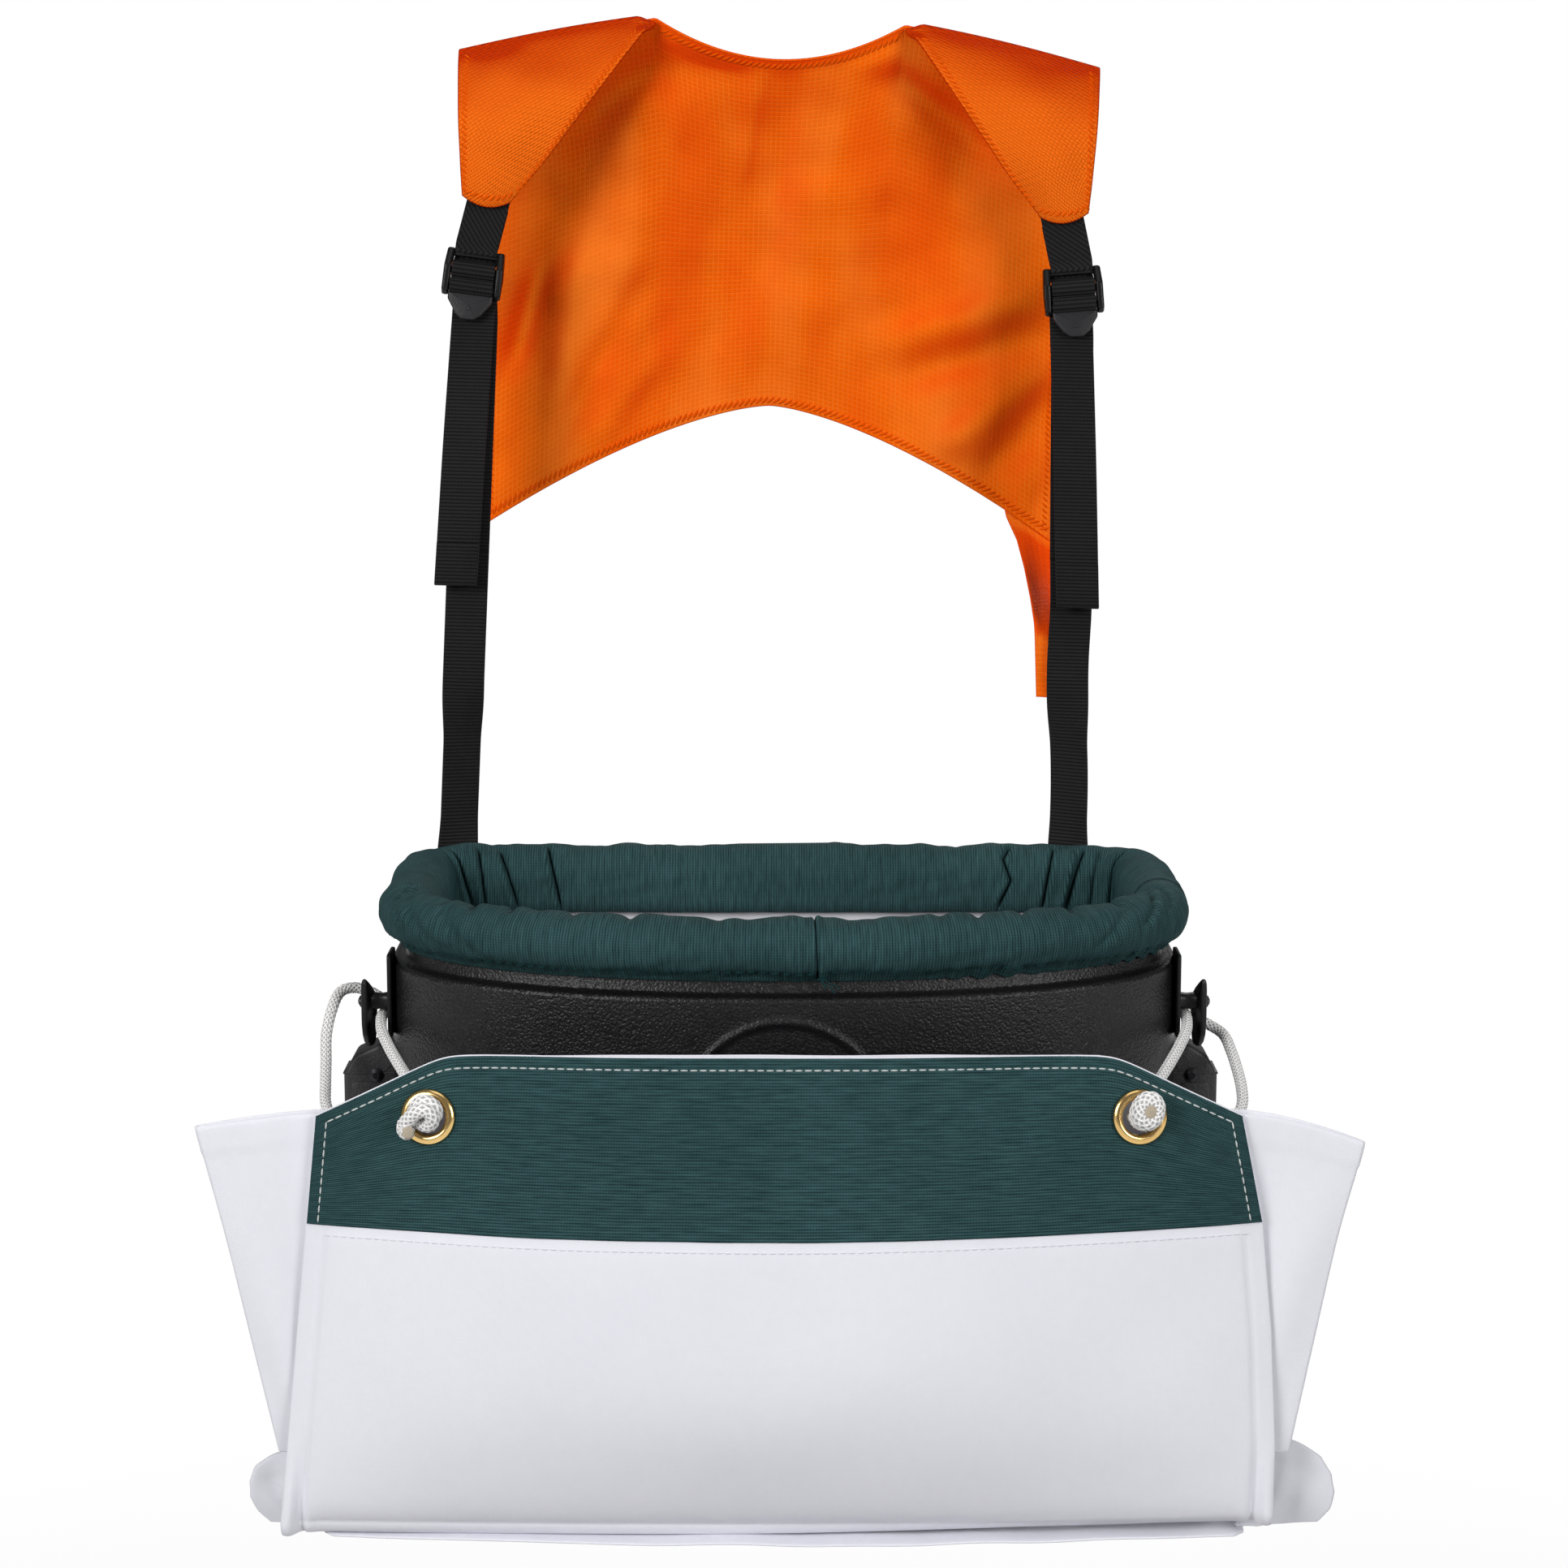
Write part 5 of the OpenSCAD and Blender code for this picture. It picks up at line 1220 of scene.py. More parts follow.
def round_panel(rings):
    """Plain round panel in the front wall: a raised ring with a shallow field inside."""
    out = rings.copy()
    front = (rings[..., 1] < -60)
    r = np.hypot(rings[..., 0], rings[..., 2] + 92)
    ring = 1.3 * np.exp(-((r - 54.5) / 1.7) ** 2)
    field = -1.1 * (1 - smooth((r - 50.5) / 2.0))
    outer = np.zeros(rings.shape[:2], bool)
    outer[:OUTER_ROWS] = True
    out[..., 1] -= np.where(front & outer, ring + field, 0)
    return out


outer_profile = [(0, z) for z in np.linspace(-199, -29, 118)]
turned_edge = [(-3.2 * (1 - math.cos(a)), -27.2 + 3.2 * math.sin(a)) for a in np.radians(np.linspace(-12, 88, 9))]
OUTER_ROWS = len(outer_profile)
neck = [(-7.2, -23.7), (-8, -22.4), (-8, -8), (-8, 6.5), (-8.6, 7.8), (-10.4, 7.8), (-11, 6.5)]
inner = [(-11, -10), (-11, -22), (-11, -25.6), (-9.5, -27), (-5, -27.4), (-3, -30)]
inner += [(-3, z) for z in np.linspace(-50, -194, 10)]
inner += [(-5, -195.5), (-6, -197), (-6, -199.2), (-4, -200), (-1, -200)]
verts, faces = loop_skin(outer_profile + turned_edge + neck + inner, bucket_angles(), round_panel)
put("pebbled_bucket", verts, faces, bucket_plastic, "bag", ["bucket_shell"])

# Clamp band round the skirt's top
band = [(2.1, -189.2), (2.5, -190), (3.3, -190), (3.7, -189.2)]
band += [(3.7 + 0.25 * math.sin(math.pi * k / 6), lerp(-189, -169, k / 6)) for k in range(1, 6)]
band += [(3.7, -168.8), (3.3, -168), (2.5, -168), (2.1, -168.8)]
verts, faces = loop_skin(band, even_plan(2, 360))
faces = [f[::-1] for f in faces]
put("skirt_clamp_band", verts, faces, fitting_plastic, "bag", ["clamp_band"])


# Padded rim

RIM_BACK = 11.0
# Folds of the cover inside the back wall: x at the top, x at the foot, depth, half width
BACK_FOLDS = [(-199.6, -187.0, 5.0, 1.7), (-182.6, -178.6, 5.0, 1.3), (-168.8, -157.9, 5.5, 1.6),
              (-140.0, -132.2, 6.0, 1.2), (160.0, 153.5, 5.5, 1.3), (178.6, 168.0, 5.5, 1.4),
              (188.0, 184.0, 2.2, 1.6), (205.0, 198.0, 3.0, 2.0), (-60.0, -61.0, 0.9, 2.0), (58.0, 57.0, 1.0, 2.4),
              (8.0, 8.5, 0.7, 2.4)]
WAVY_FOLD = [(133.6, 129.6, 0.10, 0.35), (129.6, 134.3, 0.35, 0.68), (134.3, 127.0, 0.68, 1.08)]
# Pinches on the front pad's inner edge: x, depth, half width, drift
FRONT_PINCHES = [(-209.5, 4.2, 2.4, 9), (-190.0, 2.4, 3.2, 8), (-175.0, 4.4, 2.6, 8), (-153.0, 3.8, 2.4, 7),
                 (-119.0, 2.6, 3.0, 6), (-87.0, 2.0, 3.2, 5), (-40.0, 1.2, 4.0, 4), (52.0, 1.3, 4.0, -4),
                 (88.0, 1.8, 3.6, -5), (110.0, 3.0, 2.8, -7), (134.7, 3.2, 3.0, -7), (162.0, 4.0, 2.6, -8),
                 (189.0, 4.2, 2.6, -9), (204.0, 3.2, 2.6, -9)]
# Slanting creases on the corner pads: x, drift, from and to round the section, depth, half width
CORNER_CREASES = [(-222, 26, 0.1, -0.55, 2.4, 2.6), (-205, 34, 0.0, -0.7, 1.6, 3.4),
                  (-186, 30, -0.1, -0.8, 1.3, 3.6), (206, -30, 0.1, -0.5, 2.4, 2.6),
                  (190, -34, 0.0, -0.7, 1.5, 3.4), (218, -22, 0.1, -0.4, 2.0, 2.4)]


def rim_line(count):
    """Middle line of the padded rim, the way out of it and the distance run along it."""
    def corners(p):
        seam = (p[:, 1] < 0) & (np.abs(p[:, 0] - 18) < 9)
        return np.where(seam, 4.0, np.where((p[:, 1] > 40) & (np.abs(p[:, 0]) > 115), 2.6, 1.0))
    angles = even_plan(-9.5, count, corners, RIM_BACK)
    p = plan(-9.5, angles, RIM_BACK)
    ahead = np.roll(p, -1, 0) - np.roll(p, 1, 0)
    out = unit(np.stack([ahead[:, 1], -ahead[:, 0]], -1))
    step = np.linalg.norm(np.roll(p, -1, 0) - p, axis=1)
    return p, out, np.concatenate([[0], np.cumsum(step)[:-1]]), step.sum()


def rim_cover():
    """Cover of the padded rim: round outside and on top, hanging flat inside, folded in its corners."""
    p, out, run, total = rim_line(990)
    rng = np.random.default_rng(11)
    turn = np.radians(np.linspace(-68, 180, 54))
    low = np.array([[2.6, -16.6], [3.4, -15.9], [4.4, -14.7]])
    wall = np.stack([np.linspace(-15.45, -15.0, 14), np.linspace(-0.2, -14.5, 14)], -1)
    tuck = np.array([[-14.2, -18.0], [-11.8, -20.4], [-8.4, -21.4], [-5.6, -21.7]])
    section = np.concatenate([low, np.stack([15.5 * np.cos(turn), 1.4 + 15.5 * np.sin(turn)], -1), wall, tuck])
    push = np.concatenate([np.zeros((3, 2)), np.stack([np.cos(turn), np.sin(turn)], -1),
                           np.tile([-1.0, 0.0], (14, 1)),
                           [[-0.9, -0.1], [-0.6, -0.2], [-0.2, -0.1], [0, 0]]])
    length = distances(section)
    crown = np.interp(math.pi / 2, turn, length[3:57])
    v = (length - crown) / (length[70] - crown)
    swell = np.zeros((len(run), len(section)))

    def on_back(x):
        behind = np.where(p[:, 1] > 30)[0]
        return run[behind[np.argmin(np.abs(p[behind, 0] - x))]]

    def on_front(x):
        ahead = np.where(p[:, 1] < -10)[0]
        return run[ahead[np.argmin(np.abs(p[ahead, 0] - x))]]

    def crease(from_run, to_run, from_v, to_v, deep, wide, lip=0.5):
        share = (v - from_v) / (to_v - from_v)
        d = run[:, None] - lerp(from_run, to_run, np.clip(share, 0, 1))[None, :]
        d = (d + total / 2) % total - total / 2
        fade = smooth((share + 0.12) / 0.22) * smooth((1.12 - share) / 0.22)
        return fade[None, :] * deep * (lip * np.exp(-((d - 2.5 * wide) / (1.8 * wide)) ** 2)
                                       - np.exp(-(d / wide) ** 2))

    for x_top, x_foot, deep, wide in BACK_FOLDS:
        swell += crease(on_back(x_top), on_back(x_foot), 0.16, 1.08, deep, wide, 0.35)
    for x_top, x_foot, from_v, to_v in WAVY_FOLD:
        swell += crease(on_back(x_top), on_back(x_foot), from_v, to_v, 5.0, 1.3, 0.3)
    # Raised strip of doubled cloth between the two right folds
    a, b = [np.interp(v, [-0.15, 1.08], [on_back(top), on_back(foot)])[None, :]
            for top, foot in ((176.5, 166.2), (161.5, 155.2))]
    strip = 2.2 * smooth((run[:, None] - a) / 1.2 + 0.5) * smooth((b - run[:, None]) / 1.2 + 0.5)
    swell += strip * smooth((v - 0.05) / 0.3)[None, :]
    for x, deep, wide, drift in FRONT_PINCHES:
        at = on_front(x)
        swell += crease(at, at + drift, 0.60, -0.12, 0.8 * deep, wide, 0.25)
    for x, drift, from_v, to_v, deep, wide in CORNER_CREASES:
        at = on_front(np.clip(x, -211, 211))
        swell += crease(at, at + drift, from_v, to_v, deep, wide)
    for at in np.linspace(0, total, 30, endpoint=False) + rng.uniform(-12, 12, 30):
        swell += crease(at, at + rng.uniform(-14, 14), -0.9, 1.0, rng.uniform(0.2, 0.7), rng.uniform(2.5, 5))
    seam = on_front(18)
    swell += crease(seam, seam - 2.5, -1.1, 0.6, 3.4, 0.8, 0.25)
    swell += 0.8 * ripple(run[:, None], length[None, :], 3, 48) + 0.35 * ripple(run[:, None], length[None, :], 9, 15)
    swell += 1.1 * ripple(run[:, None], 0 * length[None, :], 71, 34) * np.exp(-((v - 0.05) / 0.45) ** 2)[None, :]
    # Hem stitches pull the lower outside edge in, and it hangs in small scallops
    swell -= np.exp(-((v + 0.96) / 0.07) ** 2)[None, :] * (0.7 + 0.35 * np.cos(run[:, None] * 2 * math.pi / 6.5))
    scallop = np.cos(run * 2 * math.pi / 13 + 1.6 * np.sin(run / 21))
    scallop = scallop * (0.15 + 0.75 * smooth((p[:, 0] - 60) / 60) * (p[:, 1] < 0))
    scallop = scallop * (0.55 + 0.45 * np.sin(run / 17.0 + 1.0))
    place = np.broadcast_to(section, (len(run),) + section.shape) + push[None] * swell[..., None]
    place[..., 1] -= 1.5 * scallop[:, None] * smooth((-0.72 - v) / 0.3)[None, :]
    rings = np.concatenate([p[:, None, :] + out[:, None, :] * place[..., :1], place[..., 1:]], -1)
    middle = bag(rings).transpose(1, 0, 2)
    cut = np.stack([np.broadcast_to(length[:, None] * MM, middle.shape[:2]),
                    np.broadcast_to(run[None, :] * MM, middle.shape[:2])], -1)
    return cloth(middle, 0.0012, True, cut), rings, int(np.argmin(np.abs(v + 0.94)))


(verts, faces, uv), rim_rings, hem_row = rim_cover()
rim = put("padded_rim_cover", verts, faces, teal_canvas, "bag", ["rim_cover", "rim_foam"], uv)

hem_line = rim_rings[:, hem_row]
hem_out = unit(np.concatenate([unit(hem_line[:, :2] - rim_rings[:, 30, :2]), np.full((len(hem_line), 1), -0.7)], 1))
verts, faces = stitch_row(bag(hem_line) + hem_out * 0.0006, hem_out, 0.0065, 0.0042, 0.0011, 0.0001)
put("rim_hem_stitches", verts, faces, teal_thread, "bag")

# Loose thread ends under the seam
ends = []
front_hem = hem_line[hem_line[:, 1] < -60]
seam_foot = front_hem[np.argmin(np.abs(front_hem[:, 0] - 19))]
for points in ([(0, 0.6, 1), (3, -0.6, -3.6), (8, -1.2, -6.4), (11, -0.6, -9)],
               [(0, 0.6, 1), (1, -1.0, -4.6), (6, -1.6, -7.4), (8, -1.4, -11)],
               [(-1, 0.6, 1), (1, -0.6, -2.6), (3, -1.2, -9)]):
    line, _ = curve_through(bag(seam_foot + points), 0.0006)
    _, first, second = line_frames(line, (1, 0, 0))
    turn = full_turn(6)
    spoke = first[:, None, :] * np.cos(turn)[None, :, None] + second[:, None, :] * np.sin(turn)[None, :, None]
    ends.append(capped(line[:, None, :] + 0.00035 * spoke))
put_joined("rim_thread_ends", ends, teal_thread, "bag")

# White lining inside the bucket
angles = even_plan(-12, 320)
heights = lerp(-20, -199, edged(50, 180, 1.0))
run = full_turn(320)
rings = []
for z in heights:
    deep = smooth((-22 - z) / 30)
    grow = -11.95 - deep * (0.8 + 0.7 * np.sin(9 * run + 0.02 * z) + 0.5 * np.sin(23 * run + 1.0 + 0.03 * z))
    rings.append(np.concatenate([np.stack([plan(g, np.array([a]))[0] for g, a in zip(grow, angles)]),
                                 np.full((320, 1), z)], 1))
lining = sew("bucket_lining_cloth", bag(np.stack(rings)), 0.001, lining_cloth, "bag", "white_canvas",
             ["bucket_lining"], wrap_cols=True)


# Rope cleats and side lugs

def superellipse(u, v, turn, power=3.0):
    """Rounded rectangle of half sizes u and v."""
    c, s = np.cos(turn), np.sin(turn)
    return u * np.sign(c) * np.abs(c) ** (2 / power), v * np.sign(s) * np.abs(s) ** (2 / power)


for side, label in SIDES:
    def beside(points, side=side):
        p = np.asarray(points, float)
        q = np.stack([side * p[..., 0], p[..., 1] - 20, p[..., 2] - 56], -1)
        return bag(q[:, ::-1] if side < 0 else q)

    turn = full_turn(40)
    # Tongue: height, front and back edge, half thickness; its tip stands at the front
    rows = np.array([[-17.8, -2.0, 2.0, 0.8], [-17.0, -4.2, 3.2, 1.5], [-14.5, -6.6, 4.2, 2.1],
                     [-10, -8.6, 4.8, 2.4], [-4, -9.6, 5.2, 2.5], [2, -9.8, 6.5, 2.5], [8, -9.8, 7.0, 2.5],
                     [12, -9.8, 4.0, 2.4], [16, -9.8, 0.0, 2.2], [19.5, -9.7, -4.5, 1.8], [21.5, -9.4, -7.0, 1.2],
                     [22.2, -8.8, -7.8, 0.5]])
    fine = np.linspace(0, 1, 60)
    rows = np.stack([np.interp(fine, np.linspace(0, 1, len(rows)), rows[:, k]) for k in range(4)], -1)
    tongue = []
    for z, front, back, half_t in rows:
        y, x = superellipse((back - front) / 2, half_t, turn, 4.0)
        y = y + (back + front) / 2
        swing = math.radians(15)
        x, y = x * math.cos(swing) - y * math.sin(swing), y * math.cos(swing) + x * math.sin(swing)
        tongue.append(np.stack([TONGUE_X + x + 1.3, y, z + 0 * x], -1))
    neck_rows = []
    for x in np.linspace(CLEAT_FACE - 1.5, TONGUE_X + 2.0, 12):
        flare = 1 + 0.22 * ((x - (CLEAT_FACE + TONGUE_X) / 2) / 4.6) ** 2
        y, z = superellipse(3.9 * flare, min(4.8, 4.4 * flare), turn)
        neck_rows.append(np.stack([np.full(40, x), y, z + 8.0], -1))
    outline = rounded_outline([(-12.0, -10.8), (12.0, -10.8), (12.0, 37.0), (-12.0, 37.0)], 3.0)
    plate = puffed_plate(outline, 2.5, 0.8, lambda r: beside(r[..., [2, 0, 1]] + [CLEAT_FACE - 1.25, 0, 0]))
    put_joined(f"{label}_rope_cleat", [capped(beside(np.stack(tongue))), capped(beside(np.stack(neck_rows))), plate],
               fitting_plastic, "bag", [f"{label}_cleat"])

    # Side lug: a thick moulded block with a wide rounded top and a parting crease
    wide = 250 if side < 0 else 246

    def on_side(r, side=side):
        return bag(np.stack([side * r[..., 0], r[..., 2] * (-side), r[..., 1]], -1))

    lug = []
    for corners, radius, steps, thick, edge in (
        ([(212, -129), (wide, -129), (wide, -93), (wide - 6, -82), (229, -75), (212, -75)],
         [2, 7, 5, 6, 7, 2], 6, 26, 2.2),
        ([(214, -92.6), (wide + 0.3, -92.6), (wide + 0.3, -91.2), (214, -91.2)], 0.5, 3, 26.6, 0.4),
        ([(225, -124), (wide - 4, -124), (wide - 4, -97), (225, -97)], 4.0, 6, 27.2, 1.0),
    ):
        lug.append(puffed_plate(rounded_outline(corners, radius, steps), thick, edge, on_side))
    put_joined(f"{label}_moulded_lug", lug, lug_plastic, "bag", [f"{label}_side_lug"])


# Canvas skirt, floor and corner ears

FLOOR_HALF_W, FLOOR_HALF_D, FLOOR_MID_Y, FLOOR_Z = 250, 114.5, -26.5, -313.0


def floor_plan(angle, inset=0.0):
    """Outline of the skirt's foot, a rounded rectangle."""
    c, s = np.cos(angle), np.sin(angle)
    return np.stack([(FLOOR_HALF_W - inset) * np.sign(c) * np.abs(c) ** (1 / 3),
                     FLOOR_MID_Y + (FLOOR_HALF_D - inset) * np.sign(s) * np.abs(s) ** (1 / 3)], -1)


def skirt_middle():
    """Skirt from the clamp band down to the floor, in loose pleats."""
    count = 520
    angles = even_plan(1, count)
    run = full_turn(count)
    top, low = plan(1.05, angles), floor_plan(angles, 0.75)
    rows = []
    near = np.array([0, 0.1, 0.35, 0.75])
    for z in np.concatenate([-160 - near, [-163, -166], np.linspace(-170, -196, 8), np.linspace(-199, -310.6, 46),
                             -312 + near[::-1]]):
        share = smooth((-197 - z) / 115)
        ring = lerp(top, low, share)
        ahead = np.roll(ring, -1, 0) - np.roll(ring, 1, 0)
        out = unit(np.stack([ahead[:, 1], -ahead[:, 0]], -1))
        flare = smooth((z + 167) / 7)
        free = smooth((-196 - z) / 22) * smooth((z + 314) / 30)
        pleat = 1.5 * np.sin(38 * run + 0.7 * np.sin(5 * run)) * smooth((z + 250) / 50)
        pleat = pleat + 2.6 * np.sin(13 * run + 1.3 * np.sin(3 * run) + 0.012 * z)
        pleat = pleat + 1.6 * np.sin(7 * run + 0.03 * z)
        calm = 1 - 0.75 * smooth((-ring[:, 1] - 95) / 30)
        bow = free * (pleat * calm - 3.0 * np.sin(math.pi * np.clip((-197 - z) / 115, 0, 1)))
        lift = 0.5 * flare * (1 + np.sin(44 * run))
        rows.append(np.concatenate([ring + out * (bow + lift)[:, None], np.full((count, 1), z)], 1))
    return np.stack(rows)


skirt = sew("canvas_skirt", bag(skirt_middle()), 0.0014, white_canvas, "bag", "white_canvas", ["skirt"],
            wrap_cols=True)


def floor_middle():
    """Floor of the skirt, from its back edge to the front fold."""
    depth = edged(60, 240, 1.4)
    side = edged(110, 500, 1.4) * 2 - 1
    back = FLOOR_MID_Y + FLOOR_HALF_D * (1 - np.abs(side * 0.9955) ** 3) ** (1 / 3)
    grid = []
    for d in depth:
        front = smooth((d - 0.62) / 0.38)
        x = side * (249.0 - 6.0 * max(0.0, d - 0.96) / 0.04)
        y = lerp(back, -150.0, d) - front * 15.0 * (1 - side ** 2)
        z = FLOOR_Z + 1.2 * (0.5 + 0.5 * ripple(x, y, 31, 90)) * (1 - side ** 6)
        grid.append(np.stack([x, y, z], -1))
    return np.stack(grid)


floor_cloth = sew("canvas_floor", bag(floor_middle()), 0.0013, white_canvas, None, "white_canvas", ["skirt_floor"])
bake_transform(floor_cloth)


def folded_pocket(side, heights, inner_front, outer_x, outer_y, inner_back, dent):
    """Cloth folded on itself: from a front edge out to the fold and back. Each value runs over the heights."""
    rows = []
    turns = np.concatenate([np.linspace(0, 0.46, 22), np.linspace(0.47, 0.53, 9), np.linspace(0.54, 1, 22)])
    for k, z in enumerate(heights):
        a, b = np.array(inner_front[k], float), np.array(inner_back[k], float)
        fold = np.array([outer_x[k], outer_y[k]])
        row = []
        for u in turns:
            if u < 0.47:
                s = u / 0.47
                point = lerp(a, fold + [-1.2, -1.6], s)
                bend = np.sin(math.pi * s)
                point = point + [0, -bend * dent(k / (len(heights) - 1), s)]
            elif u > 0.53:
                s = (1 - u) / 0.47
                point = lerp(b, fold + [-1.2, 1.6], s)
                point = point + [0, 0.6 * np.sin(math.pi * s)]
            else:
                angle = lerp(-90, 90, (u - 0.47) / 0.06)
                point = fold + [-1.2 + 1.2 * math.cos(math.radians(angle)), 1.6 * math.sin(math.radians(angle))]
            row.append([side * point[0], point[1], z])
        rows.append(row if side > 0 else row[::-1])
    return np.array(rows)


for side, label in SIDES:
    # Gusset wing beside the flap
    share = np.concatenate([[0.0, 0.0012, 0.004], np.linspace(0.01, 0.985, 60), [0.9965, 0.999, 1.0]])[::-1]
    t = lerp(0.145, GUSSET_TOP, share)
    reach = lerp(271, 309 if side > 0 else 313, share)
    top_slope = 18.0 if side > 0 else 8.0
    edge = flap_width(t)
    heights = FOLD_Z + FLAP_H * t
    front = np.stack([edge - 9, flap_edge_y(t) + 1.5], -1)
    back_y = -141.75 + 16 * t
    middle_y = (flap_edge_y(t) + back_y) / 2
    back = np.stack([edge - 12, back_y - 1.5], -1)

    def wing_dent(share, s, side=side):
        hollow = -3.2 * math.exp(-((s - 0.25) / 0.2) ** 2) * (1 - share)
        hollow += 2.6 * math.sin(math.pi * min(1, share * 1.2)) * s
        return hollow + 0.7 * math.sin(9 * share + 4 * s + side)

    middle = folded_pocket(side, heights, front, reach, middle_y, back, wing_dent)
    drop = np.clip((np.abs(middle[..., 0]) - 240) / 73, 0, 1) ** 1.6 * smooth((share[:, None] - 0.55) / 0.45)
    middle[..., 2] -= drop * top_slope
    below_top = FOLD_Z + FLAP_H * GUSSET_TOP - heights
    hem = smooth(below_top) * (1 - smooth((below_top - 16.5) / 0.7))
    normal = grid_normals(middle)
    middle = middle + normal * (0.45 * hem)[:, None, None] * np.where(normal[..., 1:2] < 0, 1, -1)
    wing = sew(f"{label}_canvas_gusset", bag(middle), 0.0013, white_canvas, "flap", "white_canvas",
               [f"{label}_gusset"])

    # Corner ear at the foot of the skirt
    share = np.concatenate([[0.0, 0.004, 0.012], np.linspace(0.03, 0.97, 34), [0.988, 0.996, 1.0]])
    heights = lerp(-312.0, -264.5 if side > 0 else -272.0, share)
    reaches = [290, 296, 299, 298, 291, 280, 268] if side > 0 else [279, 285, 290, 291, 287, 278, 268]
    bulge = np.interp(share, [0, 0.15, 0.35, 0.55, 0.75, 0.9, 1.0], reaches) + 0.8 * np.sin(9 * share)
    front = np.stack([np.full_like(share, 244.0), lerp(-139.5, -136.0, share)], -1)
    back = np.stack([np.full_like(share, 251.5), lerp(-92.0, -110.0, share)], -1)
    outer_y = lerp(-131.0, -129.0, share)

    def ear_dent(share, s):
        crease = 2.6 * math.exp(-((s - 0.45 - 0.5 * (share - 0.4)) / 0.09) ** 2)
        crease -= 2.0 * math.exp(-((s - 0.68 - 0.6 * (share - 0.4)) / 0.12) ** 2)
        return crease * math.sin(math.pi * min(1, share + 0.1)) + 0.6 * math.sin(12 * share + 5 * s)

    middle = folded_pocket(side, heights, front, bulge, outer_y, back, ear_dent)
    ear = sew(f"{label}_folded_ear", bag(middle[::-1]), 0.0013, white_canvas, "bag", "white_canvas",
              [f"{label}_corner_ear"])


# Front flap

def flap_ripple(point, share):
    """Slow unevenness of the flap, calm at its sides."""
    return 0.7 * ripple(point[..., 0], point[..., 2], 8, 130) * smooth((1 - np.abs(share)) * 250 / 40)


def flap_middle():
    """Flap with its foot turned under: a quarter round at the fold, then up to the top edge."""
    share = edged(260, 528, 1.5) * 2 - 1
    grid = []
    turn = np.linspace(0, math.pi / 2, 12)[:-1]
    for a in turn:
        low = flap_point(share, np.zeros_like(share))
        low[:, 1] += FOLD_R * (1 - np.sin(a))
        low[:, 2] -= FOLD_R * np.cos(a)
        grid.append(low)
    for u in np.concatenate([np.linspace(0, 0.97, 130), 1 - np.array([0.015, 0.006, 0.003, 0.0014, 0.0004, 0.0])]):
        t = u * flap_top(share)
        grid.append(flap_point(share, t))
    grid = np.stack(grid)
    inside = (1 - np.abs(share)) * 250
    t_all = (grid[..., 2] - FOLD_Z) / FLAP_H
    below = 1 - smooth((t_all - 0.60) / 0.06)
    # Folded seam along each side: a flat margin, then a stitched groove
    groove = np.exp(-((inside - 11.0) / 1.1) ** 2)[None, :] * below
    margin = smooth((inside - 10.0) / 2.0)[None, :] * 0.9 * below
    grid[..., 1] += groove - margin
    grid[..., 1] += flap_ripple(grid, share) * smooth(t_all / 0.2)
    # The foot turns under towards the fold
    grid[..., 1] += 7.0 * np.exp(-np.clip(t_all, 0, 1) / 0.03) * smooth(inside / 20)[None, :]
    # Pinched pleats at the bottom corners
    foot = 1 - smooth((t_all - 0.02) / 0.2)
    pinch = 3.0 * np.exp(-((inside - 9.0) / 3.0) ** 2) - 2.2 * np.exp(-((inside - 3.5) / 2.4) ** 2)
    grid[..., 1] += foot * pinch[None, :]
    return grid[::-1]


flap_panel = sew("canvas_flap_panel", bag(flap_middle()), 0.0015, white_canvas, None, "white_canvas",
                 ["flap_front_panel", "bottom_fold"], holes=eyelet_holes(0))
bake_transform(flap_panel)


def on_trim(share, t, lift=2.15):
    """The green band's face, lifted off the flap."""
    point = flap_point(share * 0.9985, t, lift)
    point[:, 1] += flap_ripple(point, share)
    point[:, 1] -= 0.35 * (0.5 + 0.5 * ripple(point[:, 0], point[:, 2], 17, 60))
    return point


def trim_middle():
    """Green band along the top of the flap."""
    share = edged(300, 500, 1.0) * 2 - 1
    up = np.concatenate([[0, 0.001, 0.003, 0.006], np.linspace(0.012, 0.985, 64), [0.9935, 0.997, 0.999, 1.0]])
    top = flap_top(share) - 0.3 / FLAP_H
    return np.stack([on_trim(share, lerp(TRIM_LOW, top, u), 1.45) for u in up])[::-1]


trim = sew("teal_flap_band", bag(trim_middle()), 0.0011, teal_canvas, "flap", "green_fabric", ["flap_trim"],
           holes=eyelet_holes(1.0))


seams = []
side_in = 0.9755
runs = []
for side in (LEFT, RIGHT):
    t = np.linspace(TRIM_LOW + 1 / FLAP_H, float(flap_top(np.array(side_in))) - 6.0 / FLAP_H, 60)
    runs.append((np.full(60, side * side_in), t))
s = np.linspace(-side_in, side_in, 400)
runs.append((s, flap_top(s) - 6.2 / FLAP_H))
for s, t in runs:
    out = facing_front(flap_point, s, t)
    seams.append(stitch_row(bag(on_trim(s, t)), out, 0.0050, 0.0042, 0.0010, 0.0001))
put_joined("band_contrast_stitches", seams, white_thread, "flap")

# Faint stitch row on the canvas just below the band
s = np.linspace(-0.96, 0.96, 240)
t = np.full(240, TRIM_LOW - 5.5 / FLAP_H)
point = flap_point(s, t, 0.75)
point[:, 1] += flap_ripple(point, s) - 0.9
verts, faces = stitch_row(bag(point), facing_front(flap_point, s, t), 0.0046, 0.0034, 0.0008, 0.00005)
put("band_foot_stitches", verts, faces, canvas_thread, "flap")


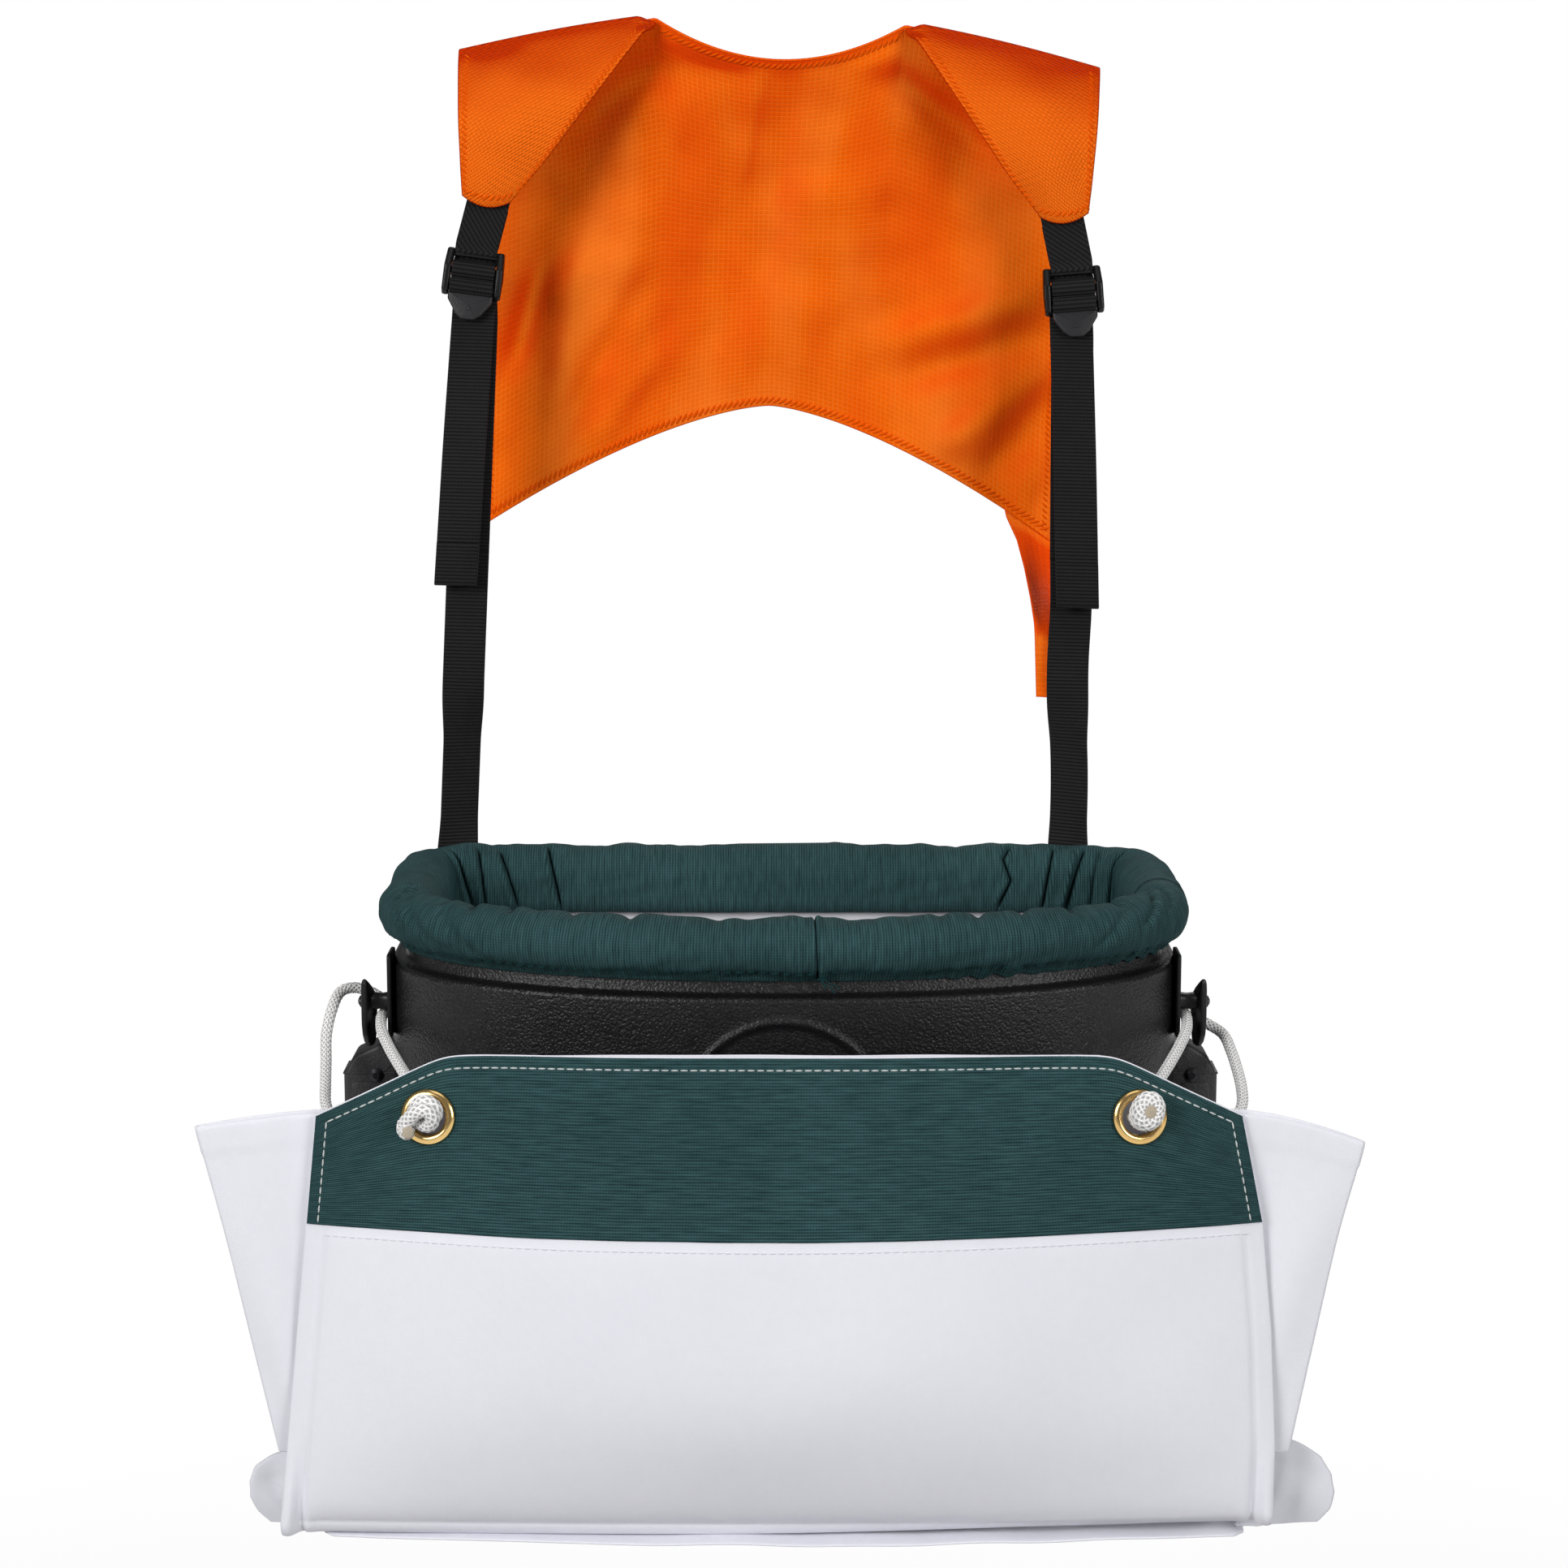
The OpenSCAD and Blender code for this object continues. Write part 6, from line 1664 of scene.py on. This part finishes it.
# Inner layer of the flap
def inner_middle():
    """Second layer of canvas behind the flap."""
    share = edged(120, 490, 1.4) * 2 - 1
    grid = []
    for u in edged(80, 251, 1.4):
        # Full width low down; the corners are cut low where the ropes come out
        x = share * lerp(250, 236, u)
        top = np.interp(np.abs(x), [0, 170, 180, 197, 236, 260], [250.8, 250.8, 246, 199, 193, 190])
        z = u * top
        y = -141.75 + 16 * z / FLAP_H + 0.9 * ripple(x, z, 44, 110) * smooth(z / 40)
        grid.append(np.stack([x, y, FOLD_Z + z], -1))
    return np.stack(grid)[::-1]


inner_panel = sew("canvas_inner_panel", bag(inner_middle()), 0.0014, white_canvas, "inner_flap", "white_canvas",
                  ["flap_back_panel"])


# Brass eyelets with a rolled flange
for side, label in SIDES:
    flange = [(9.4, -2.6), (9.4, 2.4), (9.5, 3.3), (9.9, 4.1), (10.7, 4.7), (11.8, 4.9), (13.2, 4.6), (14.2, 3.9),
              (14.8, 3.1), (14.7, 2.5), (14.3, 2.3), (10.1, 2.3), (10.0, 2.0), (10.0, -2.6)]
    turn = full_turn(64)
    ring = np.stack([np.stack([r * np.cos(turn), r * np.sin(turn), np.full(64, w)], -1) for r, w in flange])
    verts = bag(at_eyelet(side, ring)).reshape(-1, 3)
    put(f"{label}_brass_eyelet", verts, grid_faces(len(flange), 64, True, True), brass, "flap",
        [f"{label}_eyelet"])


# CAD pieces that stay, with their finishes
for names, material in (
    (("left_strap_bracket", "right_strap_bracket"), fitting_plastic),
    (("left_bracket_pin", "right_bracket_pin", "bracket_rivets", "band_rivets"), steel),
    (("cleat_rivets", "lug_rivets"), dark_steel),
    (("left_eyelet_washer", "right_eyelet_washer"), brass),
):
    for name in names:
        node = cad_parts[name]
        node.data.materials.clear()
        node.data.materials.append(material)


# Studio

def studio():
    """White floor and surround, and four softboxes."""
    mesh = bpy.data.meshes.new("studio_floor")
    reach, level = 9.0, -1.45
    mesh.from_pydata([(-reach, -reach, level), (reach, -reach, level), (reach, reach, level), (-reach, reach, level)],
                     [], [[0, 1, 2, 3]])
    ground = bpy.data.objects.new("studio_floor", mesh)
    bpy.context.scene.collection.objects.link(ground)
    material, tree, shader, places = blank_material("pale studio floor")
    level_place = vector_sum(tree, "MULTIPLY", places["Object"], (1, 1, 0))["Vector"]
    far = ramp(tree, vector_sum(tree, "LENGTH", level_place)["Value"], 0.5, 1.6)
    path = add(tree, "LightPath").outputs
    seen = sum_up(tree, "MAXIMUM", path["Is Camera Ray"],
                  sum_up(tree, "MAXIMUM", path["Is Glossy Ray"], path["Is Transmission Ray"]))
    feed(tree, shader, Base_Color=mix_colour(tree, far, (0.86, 0.86, 0.86, 1), (0, 0, 0, 1)),
         Roughness=0.9, Specular_IOR_Level=0.0, Emission_Color=(1, 1, 1, 1),
         Emission_Strength=sum_up(tree, "MULTIPLY", seen,
                                  sum_up(tree, "ADD", 0.4, sum_up(tree, "MULTIPLY", far, 0.6))))
    mesh.materials.append(material)

    world = bpy.data.worlds.new("studio")
    bpy.context.scene.world = world
    world.use_nodes = True
    tree = world.node_tree
    path = add(tree, "LightPath").outputs
    seen = sum_up(tree, "MAXIMUM", path["Is Camera Ray"], path["Is Transmission Ray"])
    feed(tree, tree.nodes["Background"], Color=(1, 1, 1, 1),
         Strength=sum_up(tree, "ADD", 0.2, sum_up(tree, "MULTIPLY", seen, 0.8)))

    for name, at, aim, size, power in (
        ("key_softbox", (-1.8, -2.3, 0.6), (0, -0.10, -0.30), 1.2, 58.0),
        ("fill_softbox", (1.9, -2.3, 0.3), (0, -0.15, -0.40), 1.2, 38.5),
        ("top_softbox", (0.1, -1.0, 1.8), (0, -0.15, -0.45), 1.4, 7.0),
        ("back_softbox", (0.6, 2.2, 1.2), (0, -0.05, -0.3), 1.6, 22.0),
    ):
        lamp = bpy.data.lights.new(name, "AREA")
        lamp.energy = power
        lamp.size = size
        obj = bpy.data.objects.new(name, lamp)
        bpy.context.scene.collection.objects.link(obj)
        obj.location = at
        way = np.array(aim) - np.array(at)
        tilt = math.atan2(math.hypot(way[0], way[1]), -way[2])
        obj.rotation_euler = (tilt, 0, math.atan2(way[1], way[0]) - math.pi / 2)


studio()
bpy.context.scene.view_settings.view_transform = "Standard"
